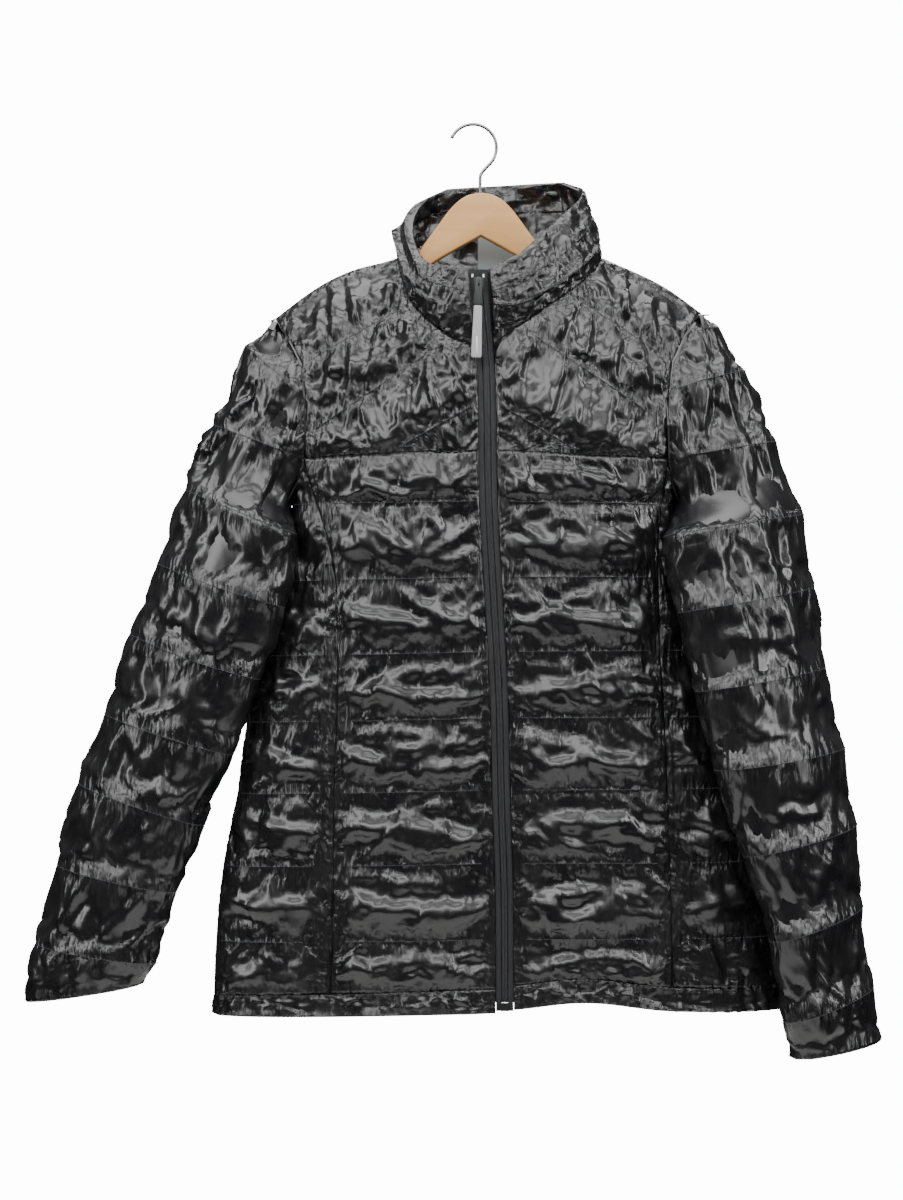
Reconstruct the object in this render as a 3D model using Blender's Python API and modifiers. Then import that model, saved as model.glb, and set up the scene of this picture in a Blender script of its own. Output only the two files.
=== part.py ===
"""Quilted jacket with a stand collar, hanging on a wooden hanger.

Tables and named sizes are in millimetres; points are turned to metres when a mesh is made.
+Z is up, the front faces -Y, and the origin is the underside of the hanger hook's crown.
"Right" is the wearer's right, which is -X. A row of a table is one section, fold or line.
"""
import math
from collections import namedtuple

import bmesh
import bpy
from mathutils import Vector

MM = 0.001
RIGHT, LEFT = -1, 1
FRONT, BACK = -1, 1

# Cloth
STITCHED_WALL = 3.0        # the padding squeezed at a stitch line
PUFF_OUT = 6.5             # how far a channel swells outwards
PUFF_IN = 2.5              # and inwards
HALF_GAP = 0.16            # each panel stops this short of a seam
SECTION_POWER = 2.6        # squareness of the body's level sections
SHOULDER_FALL = 200.0      # how far below the shoulder line the front is at its full depth
HEM_WALL = 5.0
HEM_PUFF = 3.0
HEM_PUFF_IN = 1.0
HEM_FULL = (0.0, 1.0, 0.7)             # the casing swells between its stitch line and its edge
COLLAR_PUFF_IN = 2.0
NEXT_TO_FOLD = {1: 0.35, 2: 0.75}      # share of the swelling in the columns next to a side fold
YOKE_FULL = (0.0, 0.5, 0.9, 0.0, 1.0, 0.0, 0.9, 0.7, 0.0, 0.25)    # shoulder seam to yoke seam
BACK_FULL = (0.5, 0.9, 0.0, 1.0, 0.0, 0.9, 0.7, 0.0)               # below the shoulder seam
SIDE_TOP_FULL = 0.3                    # the side panel's short top channel
SOFT_ANGLE = 50                        # smooth shading up to this angle, in degrees
MERGE = 0.02                           # points closer than this are one point

# Zip
TAPE_HALF = 8.2            # the two tapes and the chain show between the front edges
CHAIN_HALF = 2.6
CHAIN_GAP = 0.6
EDGE_GAP = 0.3
TAPE_WALL = 0.9
CHAIN_WALL = 2.4
FLAP_WALL = 1.5

# Body sections: edges of the body and its depth in front of and behind the hanger
Section = namedtuple("Section", "z right left front back")
SECTIONS = (
    Section(-76, -262, 300, 58, 50),
    Section(-186, -247, 274, 58, 50),
    Section(-264, -213, 240, 58, 50),
    Section(-320, -194, 222, 57, 50),
    Section(-365, -174, 193, 56, 50),
    Section(-398, -175, 190, 55, 49),
    Section(-463, -192, 209, 54, 48),
    Section(-532, -210, 229, 52, 47),
    Section(-582, -219, 243, 50, 45),
    Section(-638, -226, 257, 48, 44),
    Section(-709, -240, 276, 46, 42),
    Section(-782, -247, 291, 43, 40),
    Section(-860, -250, 303, 41, 38),
)

# Shoulder line, seen from the front; between the neck points it runs on up as the neck does
Ridge = namedtuple("Ridge", "x z")
SHOULDER = (
    Ridge(-250, -225), Ridge(-190, -185), Ridge(-153, -157), Ridge(-115, -138), Ridge(-68, -125),
    Ridge(-32, -95), Ridge(27, -72), Ridge(86, -95), Ridge(123, -126), Ridge(144, -135),
    Ridge(185, -155), Ridge(218, -179), Ridge(275, -222),
)

# Armholes, from the shoulder tip to the underarm
Point = namedtuple("Point", "x z")
ARMHOLE = {
    RIGHT: (Point(-190, -185), Point(-184, -195), Point(-174, -210), Point(-162, -234), Point(-159, -266),
            Point(-158, -301), Point(-161, -322), Point(-166, -344), Point(-174, -365)),
    LEFT: (Point(218, -179), Point(211, -189), Point(201, -204), Point(188, -231), Point(184, -257),
           Point(183, -291), Point(184, -322), Point(188, -344), Point(193, -365)),
}
CORNER = 6                 # the armhole point where the yoke seam starts
UNDERARM = 8

# Neck seam, from the shoulder seam to the front edge, whose own x follows the zip
NECK = {
    RIGHT: (Point(-68, -125), Point(-66, -136), Point(-64, -152), Point(-58, -175), Point(-41, -194),
            Point(-20, -209), Point(1, -217)),
    LEFT: (Point(123, -126), Point(120, -134), Point(111, -146), Point(89, -166), Point(65, -182),
           Point(42, -198), Point(19, -217)),
}
BACK_NECK = (
    Point(-47, -133), Point(-22, -137), Point(2, -139), Point(27, -140), Point(52, -139), Point(77, -137),
    Point(102, -133),
)

# Yoke: heights on its front edge below the neck, and the yoke seam from the armhole to the zip
YOKE_EDGE = (-245, -271, -294)
YOKE_SEAM = {
    RIGHT: (Point(-161, -322), Point(-120, -320), Point(-80, -318), Point(-39, -316), Point(5.6, -315)),
    LEFT: (Point(184, -322), Point(146, -321), Point(105, -320), Point(64, -317), Point(22.6, -315)),
}

# Neck and back: the top rows of the back dip under the neck
NECK_SAG = 34.0
NECK_SAG_AT = 27.0
NECK_SAG_SPREAD = 60.0
NECK_ROWS = 4
LOWER_FOLLOW = 0.3

# Zip's centre line
ZIP_LINE = (
    Point(3.5, -146), Point(4.5, -161), Point(9.8, -217), Point(12, -245), Point(14, -362), Point(19, -456),
    Point(24, -549), Point(26, -642), Point(29, -736), Point(29.5, -870),
)

# Quilting lines across the body: heights at the right side seam, the zip and the left side seam
Line = namedtuple("Line", "right zip left")
QUILT_LINES = (
    Line(-365, -363, -365), Line(-438, -434, -434), Line(-509, -504, -503), Line(-572, -566, -566),
    Line(-640, -634, -634), Line(-709, -703, -704), Line(-781, -775, -776),
)
HEM_LINES = (Line(-832, -822, -824), Line(-842, -833, -834), Line(-852, -845, -846))
HEM_LIFT = 10.0            # the left front hem rises this much
HEM_LIFT_AT = 75.0         # this far from the zip
HEM_LIFT_SPREAD = 60.0

# Long front seams
PRINCESS = {
    RIGHT: (Point(-161, -322), Point(-148, -366), Point(-139, -390), Point(-130, -437), Point(-128, -503),
            Point(-129, -568), Point(-131, -634), Point(-133, -777), Point(-136, -830)),
    LEFT: (Point(184, -322), Point(178, -366), Point(176, -390), Point(175, -437), Point(176, -503),
           Point(180, -568), Point(183, -634), Point(187, -777), Point(188, -830)),
}

# Sleeves: a row is one line across, with its outer and inner ends, the depth of each end,
# the half depth of the sleeve there, and how full it is (0 on a stitch line, 1 mid-channel)
Cuff = namedtuple("Cuff", "outer_x outer_z inner_x inner_z outer_y inner_y half full")
CAP_OUTER = {
    RIGHT: (Point(-197, -190), Point(-204, -196), Point(-211, -203), Point(-219, -211), Point(-235, -250),
            Point(-250, -288), Point(-259, -309), Point(-267, -330)),
    LEFT: (Point(226, -186), Point(234, -196), Point(246, -216), Point(259, -237), Point(275, -271),
           Point(289, -305), Point(298, -328), Point(306, -350)),
}
CAP_FULL = {
    RIGHT: (0.5, 0.9, 0.8, 0.0, 1.0, 0.0, 0.6, 0.5),
    LEFT: (0.6, 0.0, 0.9, 0.0, 1.0, 0.0, 0.6, 0.3),
}
SLEEVE = {
    RIGHT: (
        Cuff(-276, -350, -170, -394, -5, -44, 45, 0),
        Cuff(-303, -420, -188, -463, -5, -46, 46, 0),
        Cuff(-329, -487, -212, -531, -5, -38, 46, 0),
        Cuff(-353, -563, -231, -602, -6, -32, 45, 0),
        Cuff(-378, -629, -254, -669, -8, -26, 43, 0),
        Cuff(-398, -707, -281, -732, -10, -22, 40, 0),
        Cuff(-418, -782, -301, -800, -12, -20, 36, 0),
        Cuff(-428, -838, -313, -820, -14, -20, 31, 0),
    ),
    LEFT: (
        Cuff(316, -374, 186, -397, 4, -62, 43, 0),
        Cuff(325, -444, 203, -467, 0, -64, 45, 0),
        Cuff(335, -520, 219, -540, -6, -66, 45, 0),
        Cuff(352, -596, 237, -613, -14, -66, 44, 0),
        Cuff(363, -668, 256, -693, -16, -64, 42, 0),
        Cuff(368, -745, 278, -773, -18, -60, 39, 0),
        Cuff(378, -821, 292, -849, -20, -54, 35, 0),
        Cuff(386, -872, 299, -884, -20, -48, 30, 0),
    ),
}
CAP_ANGLES = (88, 88, 88, 84, 78, 70, 52)    # how much of each ring the armhole leaves out, in degrees
UNDERARM_FORWARD = -6.0
UNDERARM_HALF = 43.0
END_PULL = 1.5             # how quickly a ring's pull towards its armhole ends fades round it
INNER_FULL = 0.3           # the inner edge, pressed against the body, swells this much less
SLEEVE_COLUMNS = 14
SLEEVE_POWER = 2.3
SLEEVE_GAP = 0.5           # the armhole seam turns a corner, so its sleeve edge stops a little shorter
# Down the armhole, the sleeve's edge turns from the body's own direction to the sleeve's
ARMPIT_SHARE = (0.0, 0.0, 0.0, 0.0, 0.4, 0.8, 1.0, 1.0)

# Collar: points of the belly and of the rim above each point of the neck seam, right front to left front
Stand = namedtuple("Stand", "belly_x belly_y belly_z rim_x rim_y rim_z")
COLLAR = (
    Stand(-2, -62, -181, -5, -60, -147),
    Stand(-20, -62, -177, -19, -58, -147),
    Stand(-44, -56, -167, -36, -50, -144),
    Stand(-63, -40, -152, -49, -38, -133),
    Stand(-70, -22, -127, -56, -20, -114),
    Stand(-74, -4, -111, -57, -2, -97),
    Stand(-75, 14, -101, -53, 14, -80),
    Stand(-67, 34, -96, -42, 32, -64),
    Stand(-42, 48, -92, -24, 43, -53),
    Stand(-6, 55, -91, 0, 48, -50),
    Stand(28, 57, -91, 28, 50, -48),
    Stand(60, 55, -91, 60, 49, -46),
    Stand(92, 48, -91, 88, 42, -46),
    Stand(112, 30, -93, 105, 24, -56),
    Stand(120, 6, -97, 103, 2, -69),
    Stand(118, -16, -112, 90, -15, -84),
    Stand(106, -34, -128, 75, -30, -100),
    Stand(88, -47, -144, 59, -43, -117),
    Stand(64, -56, -160, 43, -52, -131),
    Stand(40, -61, -173, 28, -57, -140),
    Stand(17, -62, -181, 13, -60, -147),
)
COLLAR_ROWS = ((0.0, 0.0), (0.17, 0.45), (0.36, 0.0), (0.53, 1.0), (0.70, 0.0), (0.86, 1.0), (1.0, 0.4))
COLLAR_PUFF = 5.0

# Hanger
HANGER_CENTRE = 7.6
HANGER_THICK = 12.0
HANGER_TOP = (
    Point(0, -65), Point(14, -68), Point(29, -80), Point(50, -108), Point(76, -142), Point(122, -157),
    Point(160, -174), Point(184, -192),
)
HANGER_BOTTOM = (
    Point(181, -205), Point(156, -194), Point(118, -176), Point(76, -155), Point(44, -131), Point(0, -106),
)
HOOK_WIRE = 1.65
HOOK_RADIUS = 22.5
HOOK_STEM_X = 6.8
HOOK_STEM_END = -64.3
HOOK_TIP_ANGLE = 152.0     # the wire's tip, counted from the hook's left side up over its crown
HOOK_SWEEP = 200.0
HOOK_STEPS = 16
HOOK_NECK = [
    Point(10.5, -42.5), Point(7.6, -46.5), Point(HOOK_STEM_X, -51), Point(HOOK_STEM_X, -58),
    Point(HOOK_STEM_X, HOOK_STEM_END),
]
LABEL = {"x": 5.0, "width": 44.0, "top": -90.0, "bottom": -136.0, "y": 31.0, "thick": 1.0,
         "round": 0.2}

Finish = namedtuple("Finish", "colour roughness metallic")
FINISHES = {
    "shell_nylon": Finish((0.012, 0.012, 0.014), 0.32, 0.0),
    "zip_tape": Finish((0.010, 0.010, 0.011), 0.8, 0.0),
    "zip_coil": Finish((0.012, 0.012, 0.013), 0.4, 0.0),
    "zip_metal": Finish((0.03, 0.034, 0.032), 0.4, 0.9),
    "bare_metal": Finish((0.6, 0.6, 0.6), 0.25, 1.0),
    "pull_rubber": Finish((0.36, 0.36, 0.37), 0.6, 0.0),
    "flap_cloth": Finish((0.010, 0.014, 0.013), 0.85, 0.0),
    "label_cloth": Finish((0.26, 0.29, 0.31), 0.8, 0.0),
    "hanger_wood": Finish((0.62, 0.42, 0.22), 0.45, 0.0),
    "hook_chrome": Finish((0.7, 0.7, 0.7), 0.15, 1.0),
}


# ---------- reading the tables ----------

def read(rows, name, at, key="z"):
    """Column `name` of a table at `at`, on a smooth curve through its rows, straight past the ends."""
    ordered = sorted(rows, key=lambda row: getattr(row, key))
    keys = [getattr(row, key) for row in ordered]
    values = [getattr(row, name) for row in ordered]
    last = len(keys) - 1
    if at <= keys[0]:
        return values[0]
    if at >= keys[last]:
        return values[last]
    i = max(n for n in range(last) if keys[n] <= at)

    def slope(n):
        a, b = max(n - 1, 0), min(n + 1, last)
        return (values[b] - values[a]) / (keys[b] - keys[a])

    step = keys[i + 1] - keys[i]
    t = (at - keys[i]) / step
    return (values[i] * (2 * t ** 3 - 3 * t ** 2 + 1) + slope(i) * step * (t ** 3 - 2 * t ** 2 + t)
            + values[i + 1] * (3 * t ** 2 - 2 * t ** 3) + slope(i + 1) * step * (t ** 3 - t ** 2))


def zip_x(z):
    return read(ZIP_LINE, "x", z)


def zip_edge_x(side, z):
    """x of the front edge of a panel, next to the zip tape."""
    return zip_x(z) + side * (TAPE_HALF + EDGE_GAP)


def line_z(line, x, z_guess):
    """Height of a quilting line at x: straight from a side to the zip, and on to the other side."""
    zipper = zip_x(z_guess)
    edge = read(SECTIONS, "right" if x < zipper else "left", z_guess)
    far = line.right if x < zipper else line.left
    share = min(1.0, (x - zipper) / (edge - zipper))
    return line.zip + (far - line.zip) * share


# ---------- the jacket's form ----------

def squared_depth(x, z, side):
    """Square of the depth of the front or back at a place seen from the front; below 0 outside it."""
    right, left = read(SECTIONS, "right", z), read(SECTIONS, "left", z)
    deep = read(SECTIONS, "front", z) if side == FRONT else read(SECTIONS, "back", z)
    across = abs(x - (right + left) / 2) / ((left - right) / 2)
    room = 1 - across ** SECTION_POWER
    level = math.copysign(abs(room) ** (2 / SECTION_POWER), room)
    below = min(1.0, (read(SHOULDER, "z", x, key="x") - z) / SHOULDER_FALL)
    fall = 1 - (1 - below) ** 2
    if level < 0 and fall < 0:
        return -level * fall * deep ** 2
    return level * fall * deep ** 2


def form_point(x, z, side):
    return Vector((x, side * math.sqrt(max(0.0, squared_depth(x, z, side))), z))


def form_normal(point, side):
    """Outward direction of the form; the same from the front and the back where they meet."""
    reach = 1.0
    across = squared_depth(point.x + reach, point.z, side) - squared_depth(point.x - reach, point.z, side)
    up = squared_depth(point.x, point.z + reach, side) - squared_depth(point.x, point.z - reach, side)
    return Vector((-across / (2 * reach), 2 * point.y, -up / (2 * reach))).normalized()


Spot = namedtuple("Spot", "point normal full")


def spot(x, z, side, full=0.0):
    point = form_point(x, z, side)
    return Spot(point, form_normal(point, side), full)


def between(a, b, share):
    return a + (b - a) * share


def middle_spots(a, b, count):
    """count spots on the straight line between two spots, for a panel that shares a coarser edge."""
    out = []
    for n in range(1, count + 1):
        share = n / (count + 1)
        out.append(Spot(a.point.lerp(b.point, share), a.normal.lerp(b.normal, share).normalized(), 0.0))
    return out


# ---------- making meshes ----------

def jacket_collection():
    collection = bpy.data.collections.new("quilted_jacket")
    bpy.context.scene.collection.children.link(collection)
    return collection


def finish_material(name):
    if name in bpy.data.materials:
        return bpy.data.materials[name]
    finish = FINISHES[name]
    material = bpy.data.materials.new(name)
    material.use_nodes = True
    shader = material.node_tree.nodes["Principled BSDF"]
    shader.inputs["Base Color"].default_value = (*finish.colour, 1.0)
    shader.inputs["Roughness"].default_value = finish.roughness
    shader.inputs["Metallic"].default_value = finish.metallic
    material.diffuse_color = (*finish.colour, 1.0)
    return material


def add_object(name, data, finish, collection):
    piece = bpy.data.objects.new(name, data)
    collection.objects.link(piece)
    piece.data.materials.append(finish_material(finish))
    return piece


def shell(name, rows, finish, collection, wall=STITCHED_WALL, puff=PUFF_OUT, puff_in=PUFF_IN,
          gap=HALF_GAP, joined_from=None):
    """A closed cloth wall over rows of spots, listed from top to bottom and from one edge to the other.

    joined_from: from this row on, the row's two ends are one point and the wall closes into a tube.
    """
    outer = [[s.point + s.normal * (puff * s.full) for s in row] for row in rows]
    inner = [[s.point - s.normal * (wall + puff_in * s.full) for s in row] for row in rows]
    first_tube = len(rows) if joined_from is None else joined_from
    for layer in (outer, inner):
        pull_in_edges(layer, first_tube, gap)
    mesh = bmesh.new()

    def corners(layer):
        grid = []
        for r, row in enumerate(layer):
            line = [mesh.verts.new(point * MM) for point in row]
            if r >= first_tube:
                mesh.verts.remove(line[-1])
                line[-1] = line[0]
            grid.append(line)
        return grid

    def face(points):
        unique = list(dict.fromkeys(points))
        if len(unique) > 2:
            mesh.faces.new(unique)

    out_grid, in_grid = corners(outer), corners(inner)
    for r in range(len(rows) - 1):
        for c in range(len(rows[0]) - 1):
            for grid in (out_grid, in_grid):
                face((grid[r][c], grid[r][c + 1], grid[r + 1][c + 1], grid[r + 1][c]))
        for c in (0, len(rows[0]) - 1):
            if r < first_tube:
                face((out_grid[r][c], out_grid[r + 1][c], in_grid[r + 1][c], in_grid[r][c]))
    for r in (0, len(rows) - 1):
        for c in range(len(rows[0]) - 1):
            face((out_grid[r][c], out_grid[r][c + 1], in_grid[r][c + 1], in_grid[r][c]))
    bmesh.ops.remove_doubles(mesh, verts=mesh.verts, dist=MERGE * MM)
    bmesh.ops.dissolve_degenerate(mesh, edges=mesh.edges, dist=MERGE / 2 * MM)
    bmesh.ops.triangulate(mesh, faces=mesh.faces)
    bmesh.ops.recalc_face_normals(mesh, faces=mesh.faces)
    data = bpy.data.meshes.new(name)
    mesh.to_mesh(data)
    mesh.free()
    data.shade_smooth()
    data.set_sharp_from_angle(angle=math.radians(SOFT_ANGLE))
    return add_object(name, data, finish, collection)


def pull_in_edges(layer, first_tube, gap):
    """Moves the wall's edges a little towards its middle, which leaves the seam its gap."""
    def pulled(edge, inside):
        step = inside - edge
        return edge + step.normalized() * gap if step.length > gap else edge.copy()

    last_row, last = len(layer) - 1, len(layer[0]) - 1
    top = [pulled(layer[0][c], layer[1][c]) for c in range(last + 1)]
    bottom = [pulled(layer[last_row][c], layer[last_row - 1][c]) for c in range(last + 1)]
    layer[0], layer[last_row] = top, bottom
    for r, row in enumerate(layer):
        if r < first_tube:
            row[0], row[last] = pulled(row[0], row[1]), pulled(row[last], row[last - 1])


# ---------- body panels ----------

def quilt_rows():
    """Lines across the body below the yoke: (line, fullness), stitch lines and mid-channels in turn."""
    rows = []
    lines = list(QUILT_LINES) + [HEM_LINES[0]]
    for above, below in zip(lines, lines[1:]):
        rows.append((above, 0.0))
        middle = Line(*((a + b) / 2 for a, b in zip(above, below)))
        rows.append((middle, 1.0))
    rows.append((lines[-1], 0.0))
    return rows


def body_edge_x(side, z):
    return read(SECTIONS, "right" if side == RIGHT else "left", z)


def front_lift(x, line):
    """The hem lines rise on the left front, next to the zip."""
    if line not in HEM_LINES:
        return 0.0
    past_zip = x - zip_x(line.zip)
    if past_zip <= 0:
        return 0.0
    return HEM_LIFT * math.exp(-((past_zip - HEM_LIFT_AT) / HEM_LIFT_SPREAD) ** 2)


def front_spot(x, line, full):
    z = line_z(line, x, line.zip) + front_lift(x, line)
    return spot(x, z, FRONT, full)


def panel_fullness(column, columns, full, fold_edges=()):
    """A panel lies flat at its seams, and swells less next to a fold at the side of the body."""
    if column in (0, columns):
        return 0.0
    near_fold = min([abs(column - edge) for edge in fold_edges], default=columns)
    return full * NEXT_TO_FOLD.get(near_fold, 1.0)


FRONT_COLUMNS = 8
SIDE_COLUMNS = 4
SHOULDER_COLUMNS = 6


def front_columns(side, line):
    """x of each column of a front panel on a quilting line, long front seam to zip edge."""
    seam = read(PRINCESS[side], "x", line_z(line, PRINCESS[side][2].x, line.zip))
    edge = zip_edge_x(side, line.zip)
    return [between(seam, edge, n / FRONT_COLUMNS) for n in range(FRONT_COLUMNS + 1)]


def side_columns(side, line):
    """x of each column of a side panel, side seam to long front seam, closer together at the fold."""
    seam = read(PRINCESS[side], "x", line_z(line, PRINCESS[side][2].x, line.zip))
    edge = body_edge_x(side, line.right if side == RIGHT else line.left)
    return [between(edge, seam, 1 - math.cos(math.pi / 2 * n / SIDE_COLUMNS))
            for n in range(SIDE_COLUMNS + 1)]


def yoke_seam_spots(side):
    last = YOKE_SEAM[side][-1]
    coarse = [spot(p.x, p.z, FRONT) for p in YOKE_SEAM[side][:-1]]
    coarse.append(spot(zip_edge_x(side, last.z), last.z, FRONT))
    spots = [coarse[0]]
    for a, b in zip(coarse, coarse[1:]):
        spots += middle_spots(a, b, 1) + [b]
    return spots


def front_panel(side, name, collection):
    top = yoke_seam_spots(side)
    first = QUILT_LINES[0]
    upper = []
    for n, x in enumerate(front_columns(side, first)):
        z = (top[n].point.z + line_z(first, x, first.zip)) / 2
        full = panel_fullness(n, FRONT_COLUMNS, 1.0)
        x_mid = princess_middle(side).point.x if n == 0 else (x + top[n].point.x) / 2
        upper.append(spot(x_mid, princess_middle(side).point.z if n == 0 else z, FRONT, full))
    rows = [top, upper]
    for line, full in quilt_rows():
        rows.append([front_spot(x, line, panel_fullness(n, FRONT_COLUMNS, full))
                     for n, x in enumerate(front_columns(side, line))])
    return shell(name, rows, "shell_nylon", collection)


def princess_middle(side):
    """The long front seam halfway between the yoke seam and the first line under it."""
    z = (YOKE_SEAM[side][0].z + QUILT_LINES[0].right) / 2
    return spot(read(PRINCESS[side], "x", z), z, FRONT)


def side_panel(side, name, collection):
    corner = ARMHOLE[side][CORNER]
    sleeve_side = ARMHOLE[side][CORNER + 1]
    top = [spot(corner.x, corner.z, FRONT)] * (SIDE_COLUMNS + 1)
    seam = princess_middle(side)
    second = [spot(between(sleeve_side.x, seam.point.x, n / SIDE_COLUMNS),
                   between(sleeve_side.z, seam.point.z, n / SIDE_COLUMNS), FRONT,
                   panel_fullness(n, SIDE_COLUMNS, SIDE_TOP_FULL)) for n in range(SIDE_COLUMNS + 1)]
    rows = [top, second]
    for line, full in quilt_rows():
        rows.append([front_spot(x, line, panel_fullness(n, SIDE_COLUMNS, full, (0,)))
                     for n, x in enumerate(side_columns(side, line))])
    return shell(name, rows, "shell_nylon", collection)


def yoke(side, name, collection):
    """Rows run on the slant, from the armhole or yoke seam up to the neck or zip edge."""
    arm, seam = ARMHOLE[side], YOKE_SEAM[side]
    neck_ends = list(NECK[side][:-1])
    neck_ends += [Point(zip_edge_x(side, z), z) for z in (NECK[side][-1].z, *YOKE_EDGE)]
    arm_ends = list(arm[:CORNER + 1]) + list(seam[1:4])
    columns = SHOULDER_COLUMNS
    rows = []
    for start, end, full in zip(arm_ends, neck_ends, YOKE_FULL):
        rows.append([spot(between(start.x, end.x, n / columns), between(start.z, end.z, n / columns), FRONT,
                          panel_fullness(n, columns, full)) for n in range(columns + 1)])
    last = seam[-1]
    rows.append([spot(zip_edge_x(side, last.z), last.z, FRONT)] * (columns + 1))
    rows[0] = shoulder_spots(side)
    return shell(name, rows, "shell_nylon", collection)


def shoulder_spots(side):
    """The shoulder seam, from the tip to the neck, where front and back meet."""
    tip, neck, columns = ARMHOLE[side][0], NECK[side][0], SHOULDER_COLUMNS
    out = []
    for n in range(columns + 1):
        x = between(tip.x, neck.x, n / columns)
        point = Vector((x, 0.0, read(SHOULDER, "z", x, key="x")))
        out.append(Spot(point, form_normal(point, FRONT), 0.0))
    return out


BACK_COLUMNS = 2 * SHOULDER_COLUMNS + 8


def back_panel(collection):
    """Shoulders and neck at the top, armhole points down the sides, then the quilting lines."""
    across_neck = [spot(p.x, p.z, BACK) for p in BACK_NECK]
    top = shoulder_spots(RIGHT) + across_neck + shoulder_spots(LEFT)[::-1]
    rows = [top]
    columns = len(top) - 1
    for n, full in enumerate(BACK_FULL, start=1):
        start, end = ARMHOLE[RIGHT][n], ARMHOLE[LEFT][n]
        row = []
        for c in range(columns + 1):
            x = between(start.x, end.x, 0.5 - 0.5 * math.cos(math.pi * c / columns))
            level = between(start.z, end.z, c / columns)
            row.append(spot(x, level - back_neck_sag(x, n), BACK,
                            panel_fullness(c, columns, full, (0, columns))))
        rows.append(row)
    for line, full in quilt_rows()[1:]:
        right, left = body_edge_x(RIGHT, line.right), body_edge_x(LEFT, line.left)
        rows.append([spot(x, between(line.right, line.left, (x - right) / (left - right)), BACK,
                          panel_fullness(c, columns, full, (0, columns)))
                     for c, x in enumerate(even_round(right, left, columns))])
    return shell("back_panel", rows, "shell_nylon", collection)


def back_neck_sag(x, row):
    """How far a row of the back dips under the neck; the rows further down dip less."""
    fade = 1 - row / len(BACK_FULL)
    follow = 1.0 if row < NECK_ROWS else LOWER_FOLLOW
    return NECK_SAG * fade * follow * math.exp(-((x - NECK_SAG_AT) / NECK_SAG_SPREAD) ** 2)


def even_round(right, left, columns):
    """x of columns that are closer together at the two side folds."""
    return [between(right, left, 0.5 - 0.5 * math.cos(math.pi * c / columns)) for c in range(columns + 1)]


# ---------- sleeves ----------

def sleeve_ring(outer, inner, outer_y, inner_y, half, full, start_angle=0.0, ends=None):
    """One line round a sleeve, from its seam over the front, the outer edge and the back.

    start_angle leaves the armhole's share of the ring out; ends are the armhole's front and back spots.
    """
    along = outer - inner
    radius = along.length / (1 + math.cos(start_angle))
    direction = along.normalized()
    centre = outer - direction * radius
    spots = []
    for n in range(SLEEVE_COLUMNS + 1):
        turn = start_angle + (2 * math.pi - 2 * start_angle) * n / SLEEVE_COLUMNS
        reach = -math.cos(turn)
        swing = math.sin(turn)
        reach = math.copysign(abs(reach) ** (2 / SLEEVE_POWER), reach)
        depth = math.copysign(abs(swing) ** (2 / SLEEVE_POWER), swing)
        place = centre + direction * (radius * reach)
        lean = between(inner_y, outer_y, (reach + 1) / 2)
        swell = full * between(INNER_FULL, 1.0, (reach + 1) / 2)
        spots.append([Vector((place.x, lean - half * depth, place.y)), swell])
    if ends:
        for n, end in ((0, ends[0]), (SLEEVE_COLUMNS, ends[1])):
            shift = end.point - spots[n][0]
            for m in range(SLEEVE_COLUMNS + 1):
                nearness = max(0.0, 1 - abs(m - n) / (SLEEVE_COLUMNS / 2))
                spots[m][0] = spots[m][0] + shift * nearness ** END_PULL
            spots[n][0] = end.point.copy()
    return spots


def sleeve(side, name, collection):
    arm = ARMHOLE[side]
    tip = shoulder_spots(side)[0]
    raw = [[[tip.point.copy(), 0.0] for _ in range(SLEEVE_COLUMNS + 1)]]
    ends = [(tip, tip)]
    for n in range(1, UNDERARM + 1):
        front, back = spot(arm[n].x, arm[n].z, FRONT), spot(arm[n].x, arm[n].z, BACK)
        outer = CAP_OUTER[side][n - 1]
        full = CAP_FULL[side][n - 1]
        if n == UNDERARM:
            raw.append(sleeve_ring(Vector((outer.x, outer.z)), Vector((arm[n].x, arm[n].z)), 0.0,
                                   UNDERARM_FORWARD, UNDERARM_HALF, full))
            raw[-1][0][0] = front.point.copy()
            raw[-1][-1][0] = front.point.copy()
            ends.append((front, front))
            continue
        angle = math.radians(CAP_ANGLES[n - 1])
        half = (abs(front.point.y) + abs(back.point.y)) / 2 / math.sin(angle) ** (2 / SLEEVE_POWER)
        raw.append(sleeve_ring(Vector((outer.x, outer.z)), Vector((arm[n].x, arm[n].z)), 0.0,
                               (front.point.y + back.point.y) / 2, half, full, angle, (front, back)))
        ends.append((front, back))
    previous = None
    for row in SLEEVE[side]:
        if previous is None:
            previous = row
        else:
            middle = Cuff(*((a + b) / 2 for a, b in zip(previous, row)))._replace(full=1.0)
            raw.append(cuff_ring(middle))
            previous = row
        raw.append(cuff_ring(row))
    rows = with_normals(raw, first_tube=UNDERARM)
    for r, (front, back) in enumerate(ends[:UNDERARM]):
        own = ARMPIT_SHARE[r]
        rows[r][0] = Spot(front.point, front.normal.lerp(rows[r][0].normal, own).normalized(), 0.0)
        rows[r][-1] = Spot(back.point, back.normal.lerp(rows[r][-1].normal, own).normalized(), 0.0)
    rows[0] = [Spot(tip.point, tip.normal, 0.0)] * (SLEEVE_COLUMNS + 1)
    under = ends[UNDERARM][0]
    clear = Vector((side, 0, -1)) * SLEEVE_GAP
    rows[UNDERARM][0] = Spot(under.point + clear, Vector((-side, 0, -1)).normalized(), 0.0)
    rows[UNDERARM][-1] = rows[UNDERARM][0]
    return shell(name, rows, "shell_nylon", collection, gap=SLEEVE_GAP, joined_from=UNDERARM)


def cuff_ring(row):
    return sleeve_ring(Vector((row.outer_x, row.outer_z)), Vector((row.inner_x, row.inner_z)), row.outer_y,
                       row.inner_y, row.half, row.full)


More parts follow.
